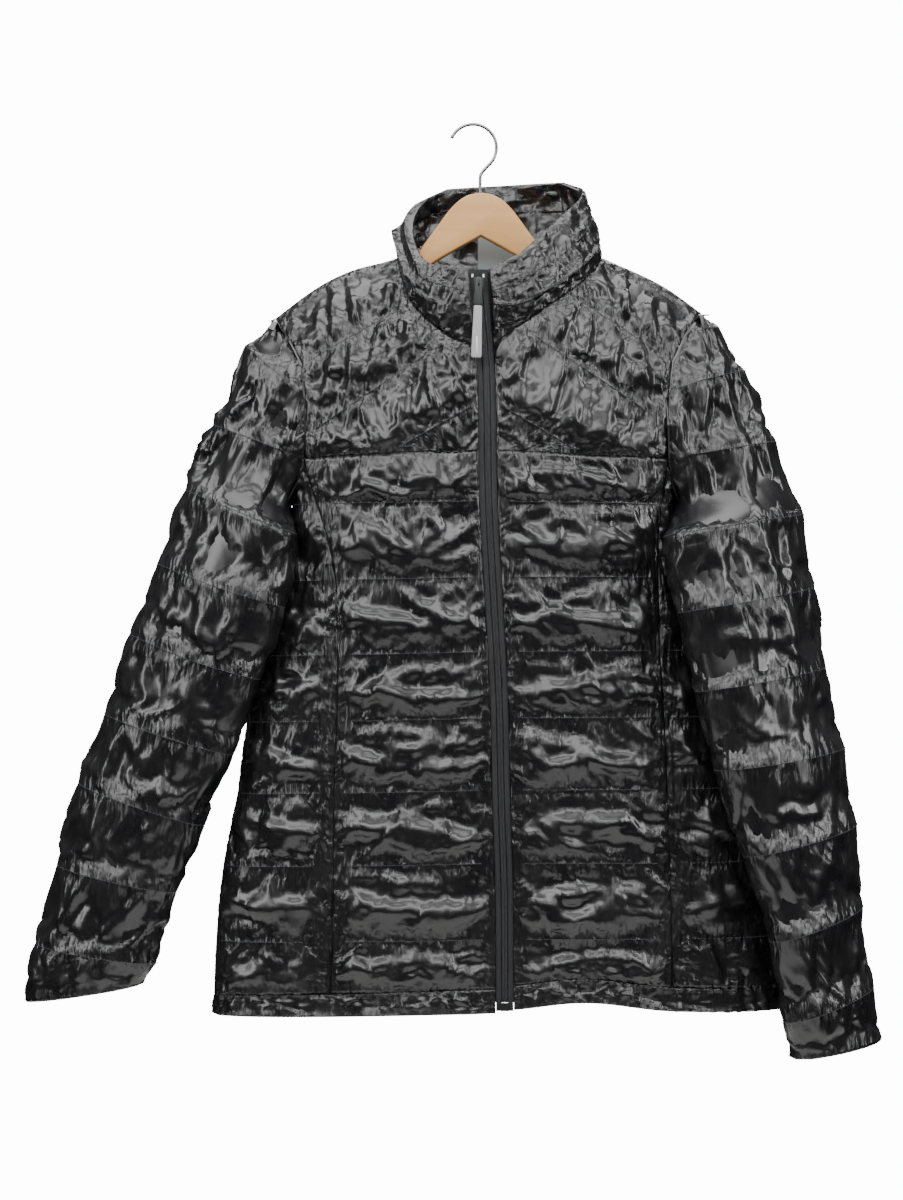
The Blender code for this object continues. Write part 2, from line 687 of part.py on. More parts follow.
def with_normals(raw, first_tube):
    """Spots with the surface's own outward normals, from the directions to their neighbours."""
    last = len(raw[0]) - 1
    rows = []
    for r, row in enumerate(raw):
        up, down = raw[max(r - 1, 0)], raw[min(r + 1, len(raw) - 1)]
        out = []
        for c in range(last + 1):
            if r >= first_tube:
                before, after = row[(c - 1) % last][0], row[(c + 1) % last][0]
            else:
                before, after = row[max(c - 1, 0)][0], row[min(c + 1, last)][0]
            normal = (after - before).cross(down[c][0] - up[c][0])
            out.append(Spot(row[c][0], normal.normalized(), row[c][1]))
        rows.append(out)
    return rows


# ---------- collar ----------

def neck_loop():
    """The neck seam from the right front edge round the back to the left front edge."""
    right = [spot(p.x, p.z, FRONT) for p in NECK[RIGHT]][::-1]
    left = [spot(p.x, p.z, FRONT) for p in NECK[LEFT]]
    right[0] = spot(zip_edge_x(RIGHT, NECK[RIGHT][-1].z), NECK[RIGHT][-1].z, FRONT)
    left[-1] = spot(zip_edge_x(LEFT, NECK[LEFT][-1].z), NECK[LEFT][-1].z, FRONT)
    right[-1] = shoulder_spots(RIGHT)[-1]
    left[0] = shoulder_spots(LEFT)[-1]
    back = [spot(p.x, p.z, BACK) for p in BACK_NECK]
    return right + back + left


def collar_rows():
    seam = neck_loop()
    count = len(seam)
    raw = []
    for height, full in COLLAR_ROWS:
        row = []
        for n, (base, stand) in enumerate(zip(seam, COLLAR)):
            belly = Vector((stand.belly_x, stand.belly_y, stand.belly_z))
            rim = Vector((stand.rim_x, stand.rim_y, stand.rim_z))
            handle = belly * 2 - (base.point + rim) / 2
            point = base.point.lerp(handle, height).lerp(handle.lerp(rim, height), height)
            row.append([point, panel_fullness(n, count - 1, full)])
        raw.append(row)
    return with_normals(raw[::-1], first_tube=len(raw))[::-1]


def collar(collection):
    rows = collar_rows()
    return shell("collar", rows, "shell_nylon", collection, puff=COLLAR_PUFF, puff_in=COLLAR_PUFF_IN)


# ---------- hem ----------

def hem_band(collection):
    """The casing all round the hem, on the same columns as the panels above it."""
    rows = []
    for line, full in zip(HEM_LINES, HEM_FULL):
        row = [front_spot(x, line, full) for x in front_columns(RIGHT, line)[::-1]]
        row += [front_spot(x, line, full) for x in side_columns(RIGHT, line)[::-1][1:]]
        right, left = body_edge_x(RIGHT, line.right), body_edge_x(LEFT, line.left)
        row += [spot(x, between(line.right, line.left, (x - right) / (left - right)), BACK, full)
                for x in even_round(right, left, BACK_COLUMNS)[1:-1]]
        row += [front_spot(x, line, full) for x in side_columns(LEFT, line)]
        row += [front_spot(x, line, full) for x in front_columns(LEFT, line)[1:]]
        rows.append([s._replace(full=panel_fullness(n, len(row) - 1, s.full)) for n, s in enumerate(row)])
    return shell("hem_band", rows, "shell_nylon", collection, wall=HEM_WALL, puff=HEM_PUFF, puff_in=HEM_PUFF_IN)


# ---------- zip ----------

def front_y(x, z):
    """Depth of the front edge at a height: the collar's front edge above the neck seam."""
    neck_z = NECK[RIGHT][-1].z
    if z <= neck_z:
        return form_point(x, z, FRONT).y
    base = form_point(x, neck_z, FRONT).y
    share = min(1.0, (z - neck_z) / (COLLAR[0].rim_z - neck_z))
    middle, top = COLLAR[0].belly_y, COLLAR[0].rim_y
    handle = middle * 2 - (base + top) / 2
    return between(between(base, handle, share), between(handle, top, share), share)


ZIP_TOP = -150.0
ZIP_BOTTOM = -843.0
ZIP_STEPS = 20


def zip_strip(name, inner_edge, outer_edge, recess, wall, finish, collection, top=ZIP_TOP, bottom=ZIP_BOTTOM):
    """A strip that follows the zip's line, its edges a set distance from it."""
    rows = []
    for n in range(ZIP_STEPS + 1):
        z = between(top, bottom, n / ZIP_STEPS)
        centre = zip_x(z)
        y = front_y(centre, z) + recess
        rows.append([Spot(Vector((centre + offset, y, z)), Vector((0, -1, 0)), 0.0)
                     for offset in (inner_edge, outer_edge)])
    return shell(name, rows, finish, collection, wall=wall, gap=0.0)


def box(name, centre, size, bevel, finish, collection):
    bpy.ops.mesh.primitive_cube_add(size=1, location=[v * MM for v in centre])
    piece = bpy.context.object
    piece.scale = [v * MM for v in size]
    bpy.ops.object.transform_apply(location=False, rotation=False, scale=True)
    piece.name = name
    piece.data.materials.append(finish_material(finish))
    rounding = piece.modifiers.new("rounding", "BEVEL")
    rounding.width = bevel * MM
    rounding.segments = 2
    for other in list(piece.users_collection):
        other.objects.unlink(piece)
    collection.objects.link(piece)
    return piece


def outline_plate(name, points, thick, finish, collection):
    """A flat outline in the XZ plane with its thickness across Y, centred on the origin."""
    curve = bpy.data.curves.new(name, "CURVE")
    curve.dimensions = "2D"
    curve.fill_mode = "BOTH"
    curve.extrude = thick / 2 * MM
    spline = curve.splines.new("POLY")
    spline.points.add(len(points) - 1)
    for target, p in zip(spline.points, points):
        target.co = (p.x * MM, p.z * MM, 0, 1)
    spline.use_cyclic_u = True
    piece = add_object(name, curve, finish, collection)
    piece.rotation_euler = (math.pi / 2, 0, 0)
    return piece


SLIDER_Z = -162.0
SLIDER_SIZE = (9.0, 4.0, 13.0)
SLIDER_PROUD = 0.6         # the back of the slider is this far in front of the cloth's form
SLIDER_ROUND = 1.2
STOP_Z = -153.5
STOP_SIZE = (2.2, 2.0, 3.6)
STOP_OUT = 5.2
STOP_PROUD = 1.3
STOP_ROUND = 0.5
ZIP_BOX_Z = -838.5
ZIP_BOX_SIZE = (8.0, 3.0, 8.0)
ZIP_BOX_PROUD = 1.9
ZIP_BOX_ROUND = 0.8
CHAIN_TOP, CHAIN_BOTTOM = -171.0, -833.0
CHAIN_RECESS = 0.6
TAPE_RECESS = 1.0
FLAP_TOP, FLAP_BOTTOM = -146.0, -815.0
FLAP_RIGHT, FLAP_LEFT = -12.0, 19.0
FLAP_RECESS = 7.0

PULL_PIVOT = Point(4.6, -157.5)
PIVOT_PROUD = 2.6          # the bridge holds the pivot this far in front of the slider
PULL_LEAN = 1.8            # the pull hangs a little to one side, in degrees
LINK_TOP = 2.0
LINK_LENGTH = 24.0
LINK_HALF_TOP, LINK_HALF_BOTTOM = 3.0, 4.2
LINK_THICK = 1.6
LINK_ROUND = 1.6
TAB_GAP = 0.4
TAB_LENGTH = 49.0
TAB_HALF_TOP, TAB_HALF_BOTTOM = 3.9, 5.0
TAB_THICK = 2.6
TAB_ROUND = 1.8


def slider_front():
    """Depth of the slider's front face."""
    return front_y(zip_x(SLIDER_Z), SLIDER_Z) - SLIDER_PROUD - SLIDER_SIZE[1]


def zip_hardware(collection):
    x = zip_x(SLIDER_Z)
    box("zip_slider", (x, slider_front() + SLIDER_SIZE[1] / 2, SLIDER_Z), SLIDER_SIZE, SLIDER_ROUND,
        "zip_metal", collection)
    for name, side in (("zip_stop_right", RIGHT), ("zip_stop_left", LEFT)):
        x = zip_x(STOP_Z)
        place = (x + side * STOP_OUT, front_y(x, STOP_Z) - STOP_PROUD, STOP_Z)
        box(name, place, STOP_SIZE, STOP_ROUND, "bare_metal", collection)
    x = zip_x(ZIP_BOX_Z)
    place = (x, front_y(x, ZIP_BOX_Z) - ZIP_BOX_PROUD, ZIP_BOX_Z)
    box("zip_box", place, ZIP_BOX_SIZE, ZIP_BOX_ROUND, "zip_metal", collection)


def rounded_outline(half_top, half_bottom, top, bottom, corner, steps=4):
    """Outline of a tab that hangs down, with rounded corners."""
    points = []
    for half, z, start in ((half_bottom, bottom, 180), (half_bottom, bottom, 270), (half_top, top, 0),
                           (half_top, top, 90)):
        sign_x = -1 if start in (180, 90) else 1
        sign_z = 1 if z == bottom else -1
        for n in range(steps + 1):
            turn = math.radians(start + 90 * n / steps)
            points.append(Point(sign_x * (half - corner) + corner * math.cos(turn),
                                z + sign_z * corner + corner * math.sin(turn)))
    return points


def zip_pull(collection):
    """The link and the moulded tab, on an empty at the slider's bridge, their hinge."""
    hinge = bpy.data.objects.new("zip_pull_hinge", None)
    hinge.location = Vector((PULL_PIVOT.x, slider_front() - PIVOT_PROUD, PULL_PIVOT.z)) * MM
    collection.objects.link(hinge)
    link_points = rounded_outline(LINK_HALF_TOP, LINK_HALF_BOTTOM, LINK_TOP, -LINK_LENGTH, LINK_ROUND)
    tab_points = rounded_outline(TAB_HALF_TOP, TAB_HALF_BOTTOM, -LINK_LENGTH - TAB_GAP,
                                 -LINK_LENGTH - TAB_LENGTH, TAB_ROUND)
    link = outline_plate("zip_pull_link", link_points, LINK_THICK, "zip_metal", collection)
    tab = outline_plate("zip_pull_tab", tab_points, TAB_THICK, "pull_rubber", collection)
    for piece in (link, tab):
        piece.parent = hinge
        piece.rotation_euler = (math.pi / 2, math.radians(PULL_LEAN), 0)


# ---------- label, hanger ----------

def neck_label(collection):
    box("neck_label", (LABEL["x"] + LABEL["width"] / 2, LABEL["y"], (LABEL["top"] + LABEL["bottom"]) / 2),
        (LABEL["width"], LABEL["thick"], LABEL["top"] - LABEL["bottom"]), LABEL["round"], "label_cloth",
        collection)


def hanger(collection):
    right_half = [Point(HANGER_CENTRE - p.x, p.z) for p in HANGER_TOP[1:] + HANGER_BOTTOM[:-1]]
    left_half = [Point(HANGER_CENTRE + p.x, p.z) for p in HANGER_TOP[1:] + HANGER_BOTTOM[:-1]]
    apex = Point(HANGER_CENTRE, HANGER_TOP[0].z)
    notch = Point(HANGER_CENTRE, HANGER_BOTTOM[-1].z)
    outline_plate("hanger_body", [apex] + left_half + [notch] + right_half[::-1], HANGER_THICK,
                  "hanger_wood", collection)
    hook(collection)


def hook(collection):
    """The wire: from its open tip over the crown and down to the stem, which stands on the wood."""
    centre_z = HOOK_WIRE - HOOK_RADIUS
    hook_points = []
    for n in range(HOOK_STEPS + 1):
        turn = math.radians(HOOK_TIP_ANGLE - HOOK_SWEEP * n / HOOK_STEPS)
        hook_points.append(Point(HOOK_RADIUS * math.cos(turn), centre_z + HOOK_RADIUS * math.sin(turn)))
    hook_points += HOOK_NECK
    wire = bpy.data.curves.new("hanger_hook", "CURVE")
    wire.dimensions = "3D"
    wire.bevel_depth = HOOK_WIRE * MM
    wire.bevel_resolution = 2
    wire.use_fill_caps = True
    spline = wire.splines.new("POLY")
    spline.points.add(len(hook_points) - 1)
    for target, p in zip(spline.points, hook_points):
        target.co = (p.x * MM, 0, p.z * MM, 1)
    add_object("hanger_hook", wire, "hook_chrome", collection)


def main():
    for old in list(bpy.data.objects):
        bpy.data.objects.remove(old)
    collection = jacket_collection()
    for side, word in ((RIGHT, "right"), (LEFT, "left")):
        yoke(side, "front_yoke_" + word, collection)
        front_panel(side, "front_panel_" + word, collection)
        side_panel(side, "side_panel_" + word, collection)
        sleeve(side, "sleeve_" + word, collection)
        zip_strip("zip_tape_" + word, side * (CHAIN_HALF + CHAIN_GAP), side * TAPE_HALF, TAPE_RECESS,
                  TAPE_WALL, "zip_tape", collection)
    back_panel(collection)
    collar(collection)
    hem_band(collection)
    zip_strip("zip_chain", -CHAIN_HALF, CHAIN_HALF, CHAIN_RECESS, CHAIN_WALL, "zip_coil", collection,
              top=CHAIN_TOP, bottom=CHAIN_BOTTOM)
    zip_strip("wind_flap", FLAP_RIGHT, FLAP_LEFT, FLAP_RECESS, FLAP_WALL, "flap_cloth", collection,
              top=FLAP_TOP, bottom=FLAP_BOTTOM)
    zip_hardware(collection)
    zip_pull(collection)
    neck_label(collection)
    hanger(collection)


main()
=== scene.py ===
# %% [markdown]
# # A quilted jacket on its hanger
# The object is a light padded jacket of glossy black nylon, closed with a zip and hanging on a
# flat wooden hanger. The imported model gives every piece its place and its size, so it is loaded
# first and never moved. Lengths in the tables are in millimetres, because that is how a pattern
# cutter would write them; Blender works in metres.

# %% Load the frame
import math

import bmesh
import bpy
import numpy as np
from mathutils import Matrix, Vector, noise
from mathutils.kdtree import KDTree


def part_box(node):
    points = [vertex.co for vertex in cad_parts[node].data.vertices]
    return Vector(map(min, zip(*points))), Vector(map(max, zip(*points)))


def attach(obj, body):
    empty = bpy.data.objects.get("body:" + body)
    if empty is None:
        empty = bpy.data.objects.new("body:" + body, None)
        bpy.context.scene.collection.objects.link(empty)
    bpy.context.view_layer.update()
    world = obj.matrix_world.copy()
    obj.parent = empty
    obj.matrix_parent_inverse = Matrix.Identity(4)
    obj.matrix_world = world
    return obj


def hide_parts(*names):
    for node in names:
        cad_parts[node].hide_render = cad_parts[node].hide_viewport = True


MM = 0.001
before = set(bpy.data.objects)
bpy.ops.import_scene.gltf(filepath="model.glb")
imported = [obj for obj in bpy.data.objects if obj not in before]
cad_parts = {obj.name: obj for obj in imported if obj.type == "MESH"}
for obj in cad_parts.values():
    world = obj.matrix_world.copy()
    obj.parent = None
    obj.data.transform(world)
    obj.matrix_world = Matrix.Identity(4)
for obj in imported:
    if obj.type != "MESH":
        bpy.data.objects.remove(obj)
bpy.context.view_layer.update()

# %% [markdown]
# ## Camera, light and floor
# The jacket hangs in a white room, lit from large soft boxes. Wet-look nylon
# shows mostly what it mirrors, so the boxes are big and the room below is darker: the upper half
# of each quilted channel catches the light and the lower half goes nearly black. The white wall
# is the World, seen by the camera only, because a real wall would light the cloth from behind.

# %% Camera
CAMERA_AT = Vector((-0.0207, -2.045, -0.4556))
camera_data = bpy.data.cameras.new("camera")
camera_data.sensor_fit = "VERTICAL"
camera_data.sensor_height = 24.0
camera_data.lens = 42.55
camera = bpy.data.objects.new("camera", camera_data)
camera.location = CAMERA_AT
camera.rotation_euler = (math.radians(90), 0, 0)
bpy.context.scene.collection.objects.link(camera)
bpy.context.scene.camera = camera
print("camera", tuple(round(v, 3) for v in camera.location))


# %% Soft boxes
def soft_box(name, place, target, wide, high, watts):
    """A rectangular area light that looks at a point."""
    data = bpy.data.lights.new(name, "AREA")
    data.shape = "RECTANGLE"
    data.size = wide
    data.size_y = high
    data.energy = watts
    light = bpy.data.objects.new(name, data)
    light.location = place
    aim = Vector(target) - Vector(place)
    light.rotation_euler = aim.to_track_quat("-Z", "Y").to_euler()
    bpy.context.scene.collection.objects.link(light)
    return light


MIDDLE = (0.0, 0.0, -0.45)
soft_box("overhead_box", (0.0, -0.1, 1.7), (0.0, -0.1, -0.45), 2.4, 1.8, 60)
soft_box("left_strip", (-1.7, -1.3, 0.2), MIDDLE, 0.5, 1.8, 22)
soft_box("right_strip", (1.8, -1.1, 0.3), MIDDLE, 0.5, 1.8, 26)
soft_box("front_top_box", (-0.2, -1.9, 1.0), MIDDLE, 2.6, 0.9, 46)
soft_box("front_low_strip", (0.5, -2.3, 0.1), MIDDLE, 1.6, 0.25, 7)
soft_box("back_box", (0.3, 2.2, 0.9), MIDDLE, 1.6, 1.2, 30)


# %% One helper adds a node with its settings and its links
def add_node(tree, kind, links=None, **settings):
    """Adds a node; settings are properties or sockets, links are {socket: output socket}."""
    node = tree.nodes.new(kind)
    for key, value in settings.items():
        if hasattr(node, key):
            setattr(node, key, value)
        else:
            node.inputs[key.replace("_", " ")].default_value = value
    for socket, source in (links or {}).items():
        tree.links.new(source, node.inputs[socket])
    return node


def linear(hex_colour):
    """sRGB hex to the linear colour that shaders work in."""
    values = [int(hex_colour[i:i + 2], 16) / 255 for i in (1, 3, 5)]
    return (*[v / 12.92 if v <= 0.04045 else ((v + 0.055) / 1.055) ** 2.4 for v in values], 1.0)


# %% The white room
world = bpy.data.worlds.new("white_room")
bpy.context.scene.world = world
world.use_nodes = True
sky = world.node_tree
sky.nodes.clear()
place = add_node(sky, "ShaderNodeTexCoord")
split = add_node(sky, "ShaderNodeSeparateXYZ", {"Vector": place.outputs["Generated"]})
height = add_node(sky, "ShaderNodeMapRange", {"Value": split.outputs["Z"]}, From_Min=-0.35, From_Max=0.9,
                  To_Min=0.0, To_Max=0.2)
room = add_node(sky, "ShaderNodeBackground", {"Strength": height.outputs["Result"]}, Color=(1, 1, 1, 1))
seen = add_node(sky, "ShaderNodeBackground", Color=(1, 1, 1, 1), Strength=14.0)
ray = add_node(sky, "ShaderNodeLightPath")
mix = add_node(sky, "ShaderNodeMixShader", {0: ray.outputs["Is Camera Ray"], 1: room.outputs[0],
                                             2: seen.outputs[0]})
add_node(sky, "ShaderNodeOutputWorld", {"Surface": mix.outputs[0]})
print("world", world.name)


# %% [markdown]
# ## Finishes
# Each finish starts from what the real surface is. Shell nylon is a tight plain weave with a
# rolled, almost wet gloss: its colour is near black and everything the eye reads is reflection,
# so its fine wrinkles matter more than its colour.

# %% Start of a finish
def finish(name, colour, roughness, metallic=0.0):
    """A Principled material; returns it with its tree, shader and Object coordinates."""
    material = bpy.data.materials.new(name)
    material.use_nodes = True
    tree = material.node_tree
    shader = tree.nodes["Principled BSDF"]
    shader.inputs["Base Color"].default_value = linear(colour)
    shader.inputs["Roughness"].default_value = roughness
    shader.inputs["Metallic"].default_value = metallic
    place = add_node(tree, "ShaderNodeTexCoord").outputs["Object"]
    return material, tree, shader, place


def link(tree, output, node, socket):
    tree.links.new(output, node.inputs[socket])


# %% Glossy quilting nylon
nylon, tree, shader, place = finish("calendered_nylon", "#141416", 0.3)
shader.inputs["IOR"].default_value = 1.53
shader.inputs["Specular IOR Level"].default_value = 0.6
shader.inputs["Coat Weight"].default_value = 0.25
shader.inputs["Coat Roughness"].default_value = 0.14
gathered = add_node(tree, "ShaderNodeAttribute", attribute_name="gathered")
# Pleats run across a stitch line, 4 to 8 mm apart, and fade out within a few millimetres of it
near_thread = add_node(tree, "ShaderNodeMath", {0: gathered.outputs["Fac"]}, operation="POWER")
near_thread.inputs[1].default_value = 2.0
pleat_place = add_node(tree, "ShaderNodeMapping", {"Vector": place}, Scale=(170, 170, 40))
pleats = add_node(tree, "ShaderNodeTexNoise", {"Vector": pleat_place.outputs[0]}, Scale=1.0, Detail=1.0,
                  Roughness=0.4, Distortion=0.3)
pleat_depth = add_node(tree, "ShaderNodeMath", {0: pleats.outputs["Fac"], 1: near_thread.outputs[0]},
                       operation="MULTIPLY")
# The thin cloth never lies quite flat: slow ripples 30 to 60 mm apart
ripple_place = add_node(tree, "ShaderNodeMapping", {"Vector": place}, Scale=(34, 34, 20))
ripples = add_node(tree, "ShaderNodeTexNoise", {"Vector": ripple_place.outputs[0]}, Scale=1.0, Detail=1.5,
                   Roughness=0.45, Distortion=0.6)
# The weave is about 0.1 mm; it is drawn at 0.6 mm, the finest that shows
weave = add_node(tree, "ShaderNodeTexNoise", {"Vector": place}, Scale=1500.0, Detail=1.0)
bump_a = add_node(tree, "ShaderNodeBump", {"Height": ripples.outputs["Fac"]}, Strength=0.35, Distance=0.006)
bump_b = add_node(tree, "ShaderNodeBump", {"Height": pleat_depth.outputs[0], "Normal": bump_a.outputs[0]},
                  Strength=0.9, Distance=0.006)
bump_c = add_node(tree, "ShaderNodeBump", {"Height": weave.outputs["Fac"], "Normal": bump_b.outputs[0]},
                  Strength=0.08, Distance=0.0003)
link(tree, bump_c.outputs[0], shader, "Normal")
rub = add_node(tree, "ShaderNodeMapRange", {"Value": ripples.outputs["Fac"]}, From_Min=0.3, From_Max=0.7,
               To_Min=0.25, To_Max=0.36)
link(tree, rub.outputs[0], shader, "Roughness")
print(nylon.name, len(tree.nodes), "nodes")

# %% Thread, tape, moulded and metal finishes
thread, tree, shader, place = finish("polyester_thread", "#3a3b3f", 0.4)
twist = add_node(tree, "ShaderNodeTexNoise", {"Vector": place}, Scale=2500.0, Detail=1.0)
relief = add_node(tree, "ShaderNodeBump", {"Height": twist.outputs["Fac"]}, Strength=0.3, Distance=0.0002)
link(tree, relief.outputs[0], shader, "Normal")

tape_cloth, tree, shader, place = finish("woven_zip_tape", "#1b1b1d", 0.6)
rib_place = add_node(tree, "ShaderNodeMapping", {"Vector": place}, Scale=(900, 900, 1800))
ribs = add_node(tree, "ShaderNodeTexWave", {"Vector": rib_place.outputs[0]}, wave_type="BANDS",
                bands_direction="Z", Scale=1.0, Distortion=1.0)
relief = add_node(tree, "ShaderNodeBump", {"Height": ribs.outputs["Fac"]}, Strength=0.4, Distance=0.0003)
link(tree, relief.outputs[0], shader, "Normal")

coil, tree, shader, place = finish("nylon_coil", "#2a2b2d", 0.34)
scuff = add_node(tree, "ShaderNodeTexNoise", {"Vector": place}, Scale=700.0, Detail=2.0)
tone = add_node(tree, "ShaderNodeMapRange", {"Value": scuff.outputs["Fac"]}, To_Min=0.3, To_Max=0.5)
link(tree, tone.outputs[0], shader, "Roughness")

lacquer, tree, shader, place = finish("lacquered_zinc", "#3c403e", 0.34, 0.75)
wear = add_node(tree, "ShaderNodeTexNoise", {"Vector": place}, Scale=420.0, Detail=3.0)
tone = add_node(tree, "ShaderNodeMapRange", {"Value": wear.outputs["Fac"]}, To_Min=0.24, To_Max=0.48)
link(tree, tone.outputs[0], shader, "Roughness")

bright, tree, shader, place = finish("crimped_aluminium", "#c9cacc", 0.25, 1.0)
wear = add_node(tree, "ShaderNodeTexNoise", {"Vector": place}, Scale=600.0, Detail=2.0)
tone = add_node(tree, "ShaderNodeMapRange", {"Value": wear.outputs["Fac"]}, To_Min=0.18, To_Max=0.36)
link(tree, tone.outputs[0], shader, "Roughness")

soft_plastic, tree, shader, place = finish("moulded_soft_pvc", "#a2a2a5", 0.5)
grain = add_node(tree, "ShaderNodeTexNoise", {"Vector": place}, Scale=1600.0, Detail=2.0)
relief = add_node(tree, "ShaderNodeBump", {"Height": grain.outputs["Fac"]}, Strength=0.15, Distance=0.0002)
link(tree, relief.outputs[0], shader, "Normal")
shade = add_node(tree, "ShaderNodeMix", {0: grain.outputs["Fac"]}, data_type="RGBA")
shade.inputs[6].default_value, shade.inputs[7].default_value = linear("#9a9a9d"), linear("#acacae")
link(tree, shade.outputs[2], shader, "Base Color")

# The ridge is real, but its near-white colour, far paler than the grey tab, is a painted highlight.
tab_ridge_highlight_paint, tree, shader, place = finish("tab_ridge_painted_highlight", "#e3e3e6", 0.25)
grain = add_node(tree, "ShaderNodeTexNoise", {"Vector": place}, Scale=900.0, Detail=1.0)
tone = add_node(tree, "ShaderNodeMapRange", {"Value": grain.outputs["Fac"]}, To_Min=0.2, To_Max=0.34)
link(tree, tone.outputs[0], shader, "Roughness")

lining_cloth, tree, shader, place = finish("matt_taffeta", "#141b1a", 0.7)
yarn_place = add_node(tree, "ShaderNodeMapping", {"Vector": place}, Scale=(1500, 1500, 1100))
yarn = add_node(tree, "ShaderNodeTexNoise", {"Vector": yarn_place.outputs[0]}, Scale=1.0, Detail=2.0)
relief = add_node(tree, "ShaderNodeBump", {"Height": yarn.outputs["Fac"]}, Strength=0.3, Distance=0.0003)
link(tree, relief.outputs[0], shader, "Normal")

label_satin, tree, shader, place = finish("woven_label_satin", "#c4cbce", 0.6)
yarn_place = add_node(tree, "ShaderNodeMapping", {"Vector": place}, Scale=(2200, 2200, 900))
yarn = add_node(tree, "ShaderNodeTexNoise", {"Vector": yarn_place.outputs[0]}, Scale=1.0, Detail=2.0)
relief = add_node(tree, "ShaderNodeBump", {"Height": yarn.outputs["Fac"]}, Strength=0.25, Distance=0.0002)
link(tree, relief.outputs[0], shader, "Normal")
shade = add_node(tree, "ShaderNodeMix", {0: yarn.outputs["Fac"]}, data_type="RGBA")
shade.inputs[6].default_value, shade.inputs[7].default_value = linear("#bcc5c8"), linear("#d2d8da")
link(tree, shade.outputs[2], shader, "Base Color")

chrome, tree, shader, place = finish("plated_wire", "#8e8f92", 0.16, 1.0)
drawn = add_node(tree, "ShaderNodeTexNoise", {"Vector": place}, Scale=500.0, Detail=1.0)
tone = add_node(tree, "ShaderNodeMapRange", {"Value": drawn.outputs["Fac"]}, To_Min=0.08, To_Max=0.2)
link(tree, tone.outputs[0], shader, "Roughness")
print("finishes", len(bpy.data.materials))

# %% [markdown]
# Beech or lotus wood for hangers is pale, with fine lengthwise streaks and short darker flecks
# under a satin varnish. The streaks run along the arm, so the pattern is stretched along X.

# %% Varnished hanger wood
wood, tree, shader, place = finish("varnished_beech", "#cda777", 0.42)
grain_place = add_node(tree, "ShaderNodeMapping", {"Vector": place}, Scale=(9, 120, 120))
grain = add_node(tree, "ShaderNodeTexNoise", {"Vector": grain_place.outputs[0]}, Scale=1.0, Detail=4.0,
                 Roughness=0.6, Distortion=0.4)
fleck_place = add_node(tree, "ShaderNodeMapping", {"Vector": place}, Scale=(140, 700, 700))
flecks = add_node(tree, "ShaderNodeTexNoise", {"Vector": fleck_place.outputs[0]}, Scale=1.0, Detail=1.0)
tones = add_node(tree, "ShaderNodeMix", {0: grain.outputs["Fac"]}, data_type="RGBA")
tones.inputs[6].default_value, tones.inputs[7].default_value = linear("#c98d44"), linear("#dcab67")
dark = add_node(tree, "ShaderNodeMapRange", {"Value": flecks.outputs["Fac"]}, From_Min=0.62, From_Max=0.8,
                To_Min=0.0, To_Max=0.35)
flecked = add_node(tree, "ShaderNodeMix", {0: dark.outputs[0], 6: tones.outputs[2]},
                   data_type="RGBA")
flecked.inputs[7].default_value = linear("#9d7040")
link(tree, flecked.outputs[2], shader, "Base Color")
relief = add_node(tree, "ShaderNodeBump", {"Height": grain.outputs["Fac"]}, Strength=0.1, Distance=0.0004)
link(tree, relief.outputs[0], shader, "Normal")
shader.inputs["Coat Weight"].default_value = 0.3
shader.inputs["Coat Roughness"].default_value = 0.25

# %% [markdown]
# ## Quilted panels
# A quilted panel is two thin cloths with padding between them, sewn together along lines. Along
# a line the cloth is held flat and drawn together; between two lines the padding pushes it out
# and the spare cloth buckles into pleats. Painting such pleats looks even and dead, so the cloth
# is simulated: stitch lines are pinned, the cloth is let grow a little, and a light pressure
# fills the channels. The padded walls of the frame give each panel its place, its stitch lines
# and its seams.

# %% Helpers for selecting and applying
def only(piece):
    """Makes one object the selected and active one."""
    bpy.ops.object.select_all(action="DESELECT")
    piece.select_set(True)
    bpy.context.view_layer.objects.active = piece


def apply_all(piece):
    only(piece)
    for modifier in list(piece.modifiers):
        bpy.ops.object.modifier_apply(modifier=modifier.name)


def copy_of(node, name):
    """A merged copy of a frame node, with squares instead of triangles."""
    piece = bpy.data.objects.new(name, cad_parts[node].data.copy())
    bpy.context.scene.collection.objects.link(piece)
    only(piece)
    piece.data.materials.clear()
    bpy.ops.mesh.customdata_custom_splitnormals_clear()
    bpy.ops.object.mode_set(mode="EDIT")
    bpy.ops.mesh.select_all(action="SELECT")
    bpy.ops.mesh.remove_doubles(threshold=0.00002)
    bpy.ops.mesh.tris_convert_to_quads(face_threshold=math.radians(55), shape_threshold=math.radians(60))
    bpy.ops.mesh.normals_make_consistent(inside=False)
    bpy.ops.object.mode_set(mode="OBJECT")
    return piece


# %% Which side of the wall shows, and where it is stitched
AXES = {
    # the middle of each tube from top to bottom (mm)
    "sleeve_right": ((-185, 0, -250), (-223, -25, -372), (-270, -24, -509), (-316, -18, -649),
                     (-372, -16, -835)),
    "sleeve_left": ((208, 0, -250), (251, -29, -385), (277, -36, -530), (309, -40, -680),
                    (342, -34, -878)),
    "collar": ((27, 2, 100), (27, 2, -400)),
}


BODY_MIDDLE_X, BODY_HALF_WIDTH, BODY_HALF_DEPTH = 0.027, 0.25, 0.045


def outward(node, point):
    """Direction from the middle of the jacket, a sleeve or the collar to a place on its wall."""
    if node not in AXES:
        return Vector(((point.x - BODY_MIDDLE_X) / BODY_HALF_WIDTH ** 2, point.y / BODY_HALF_DEPTH ** 2,
                       0)).normalized()
    nearest = None
    for a, b in zip(AXES[node], AXES[node][1:]):
        a, b = Vector(a) * MM, Vector(b) * MM
        share = min(1, max(0, (point - a).dot(b - a) / (b - a).length_squared))
        away = point - a.lerp(b, share)
        if nearest is None or away.length < nearest.length:
            nearest = away
    return nearest.normalized()


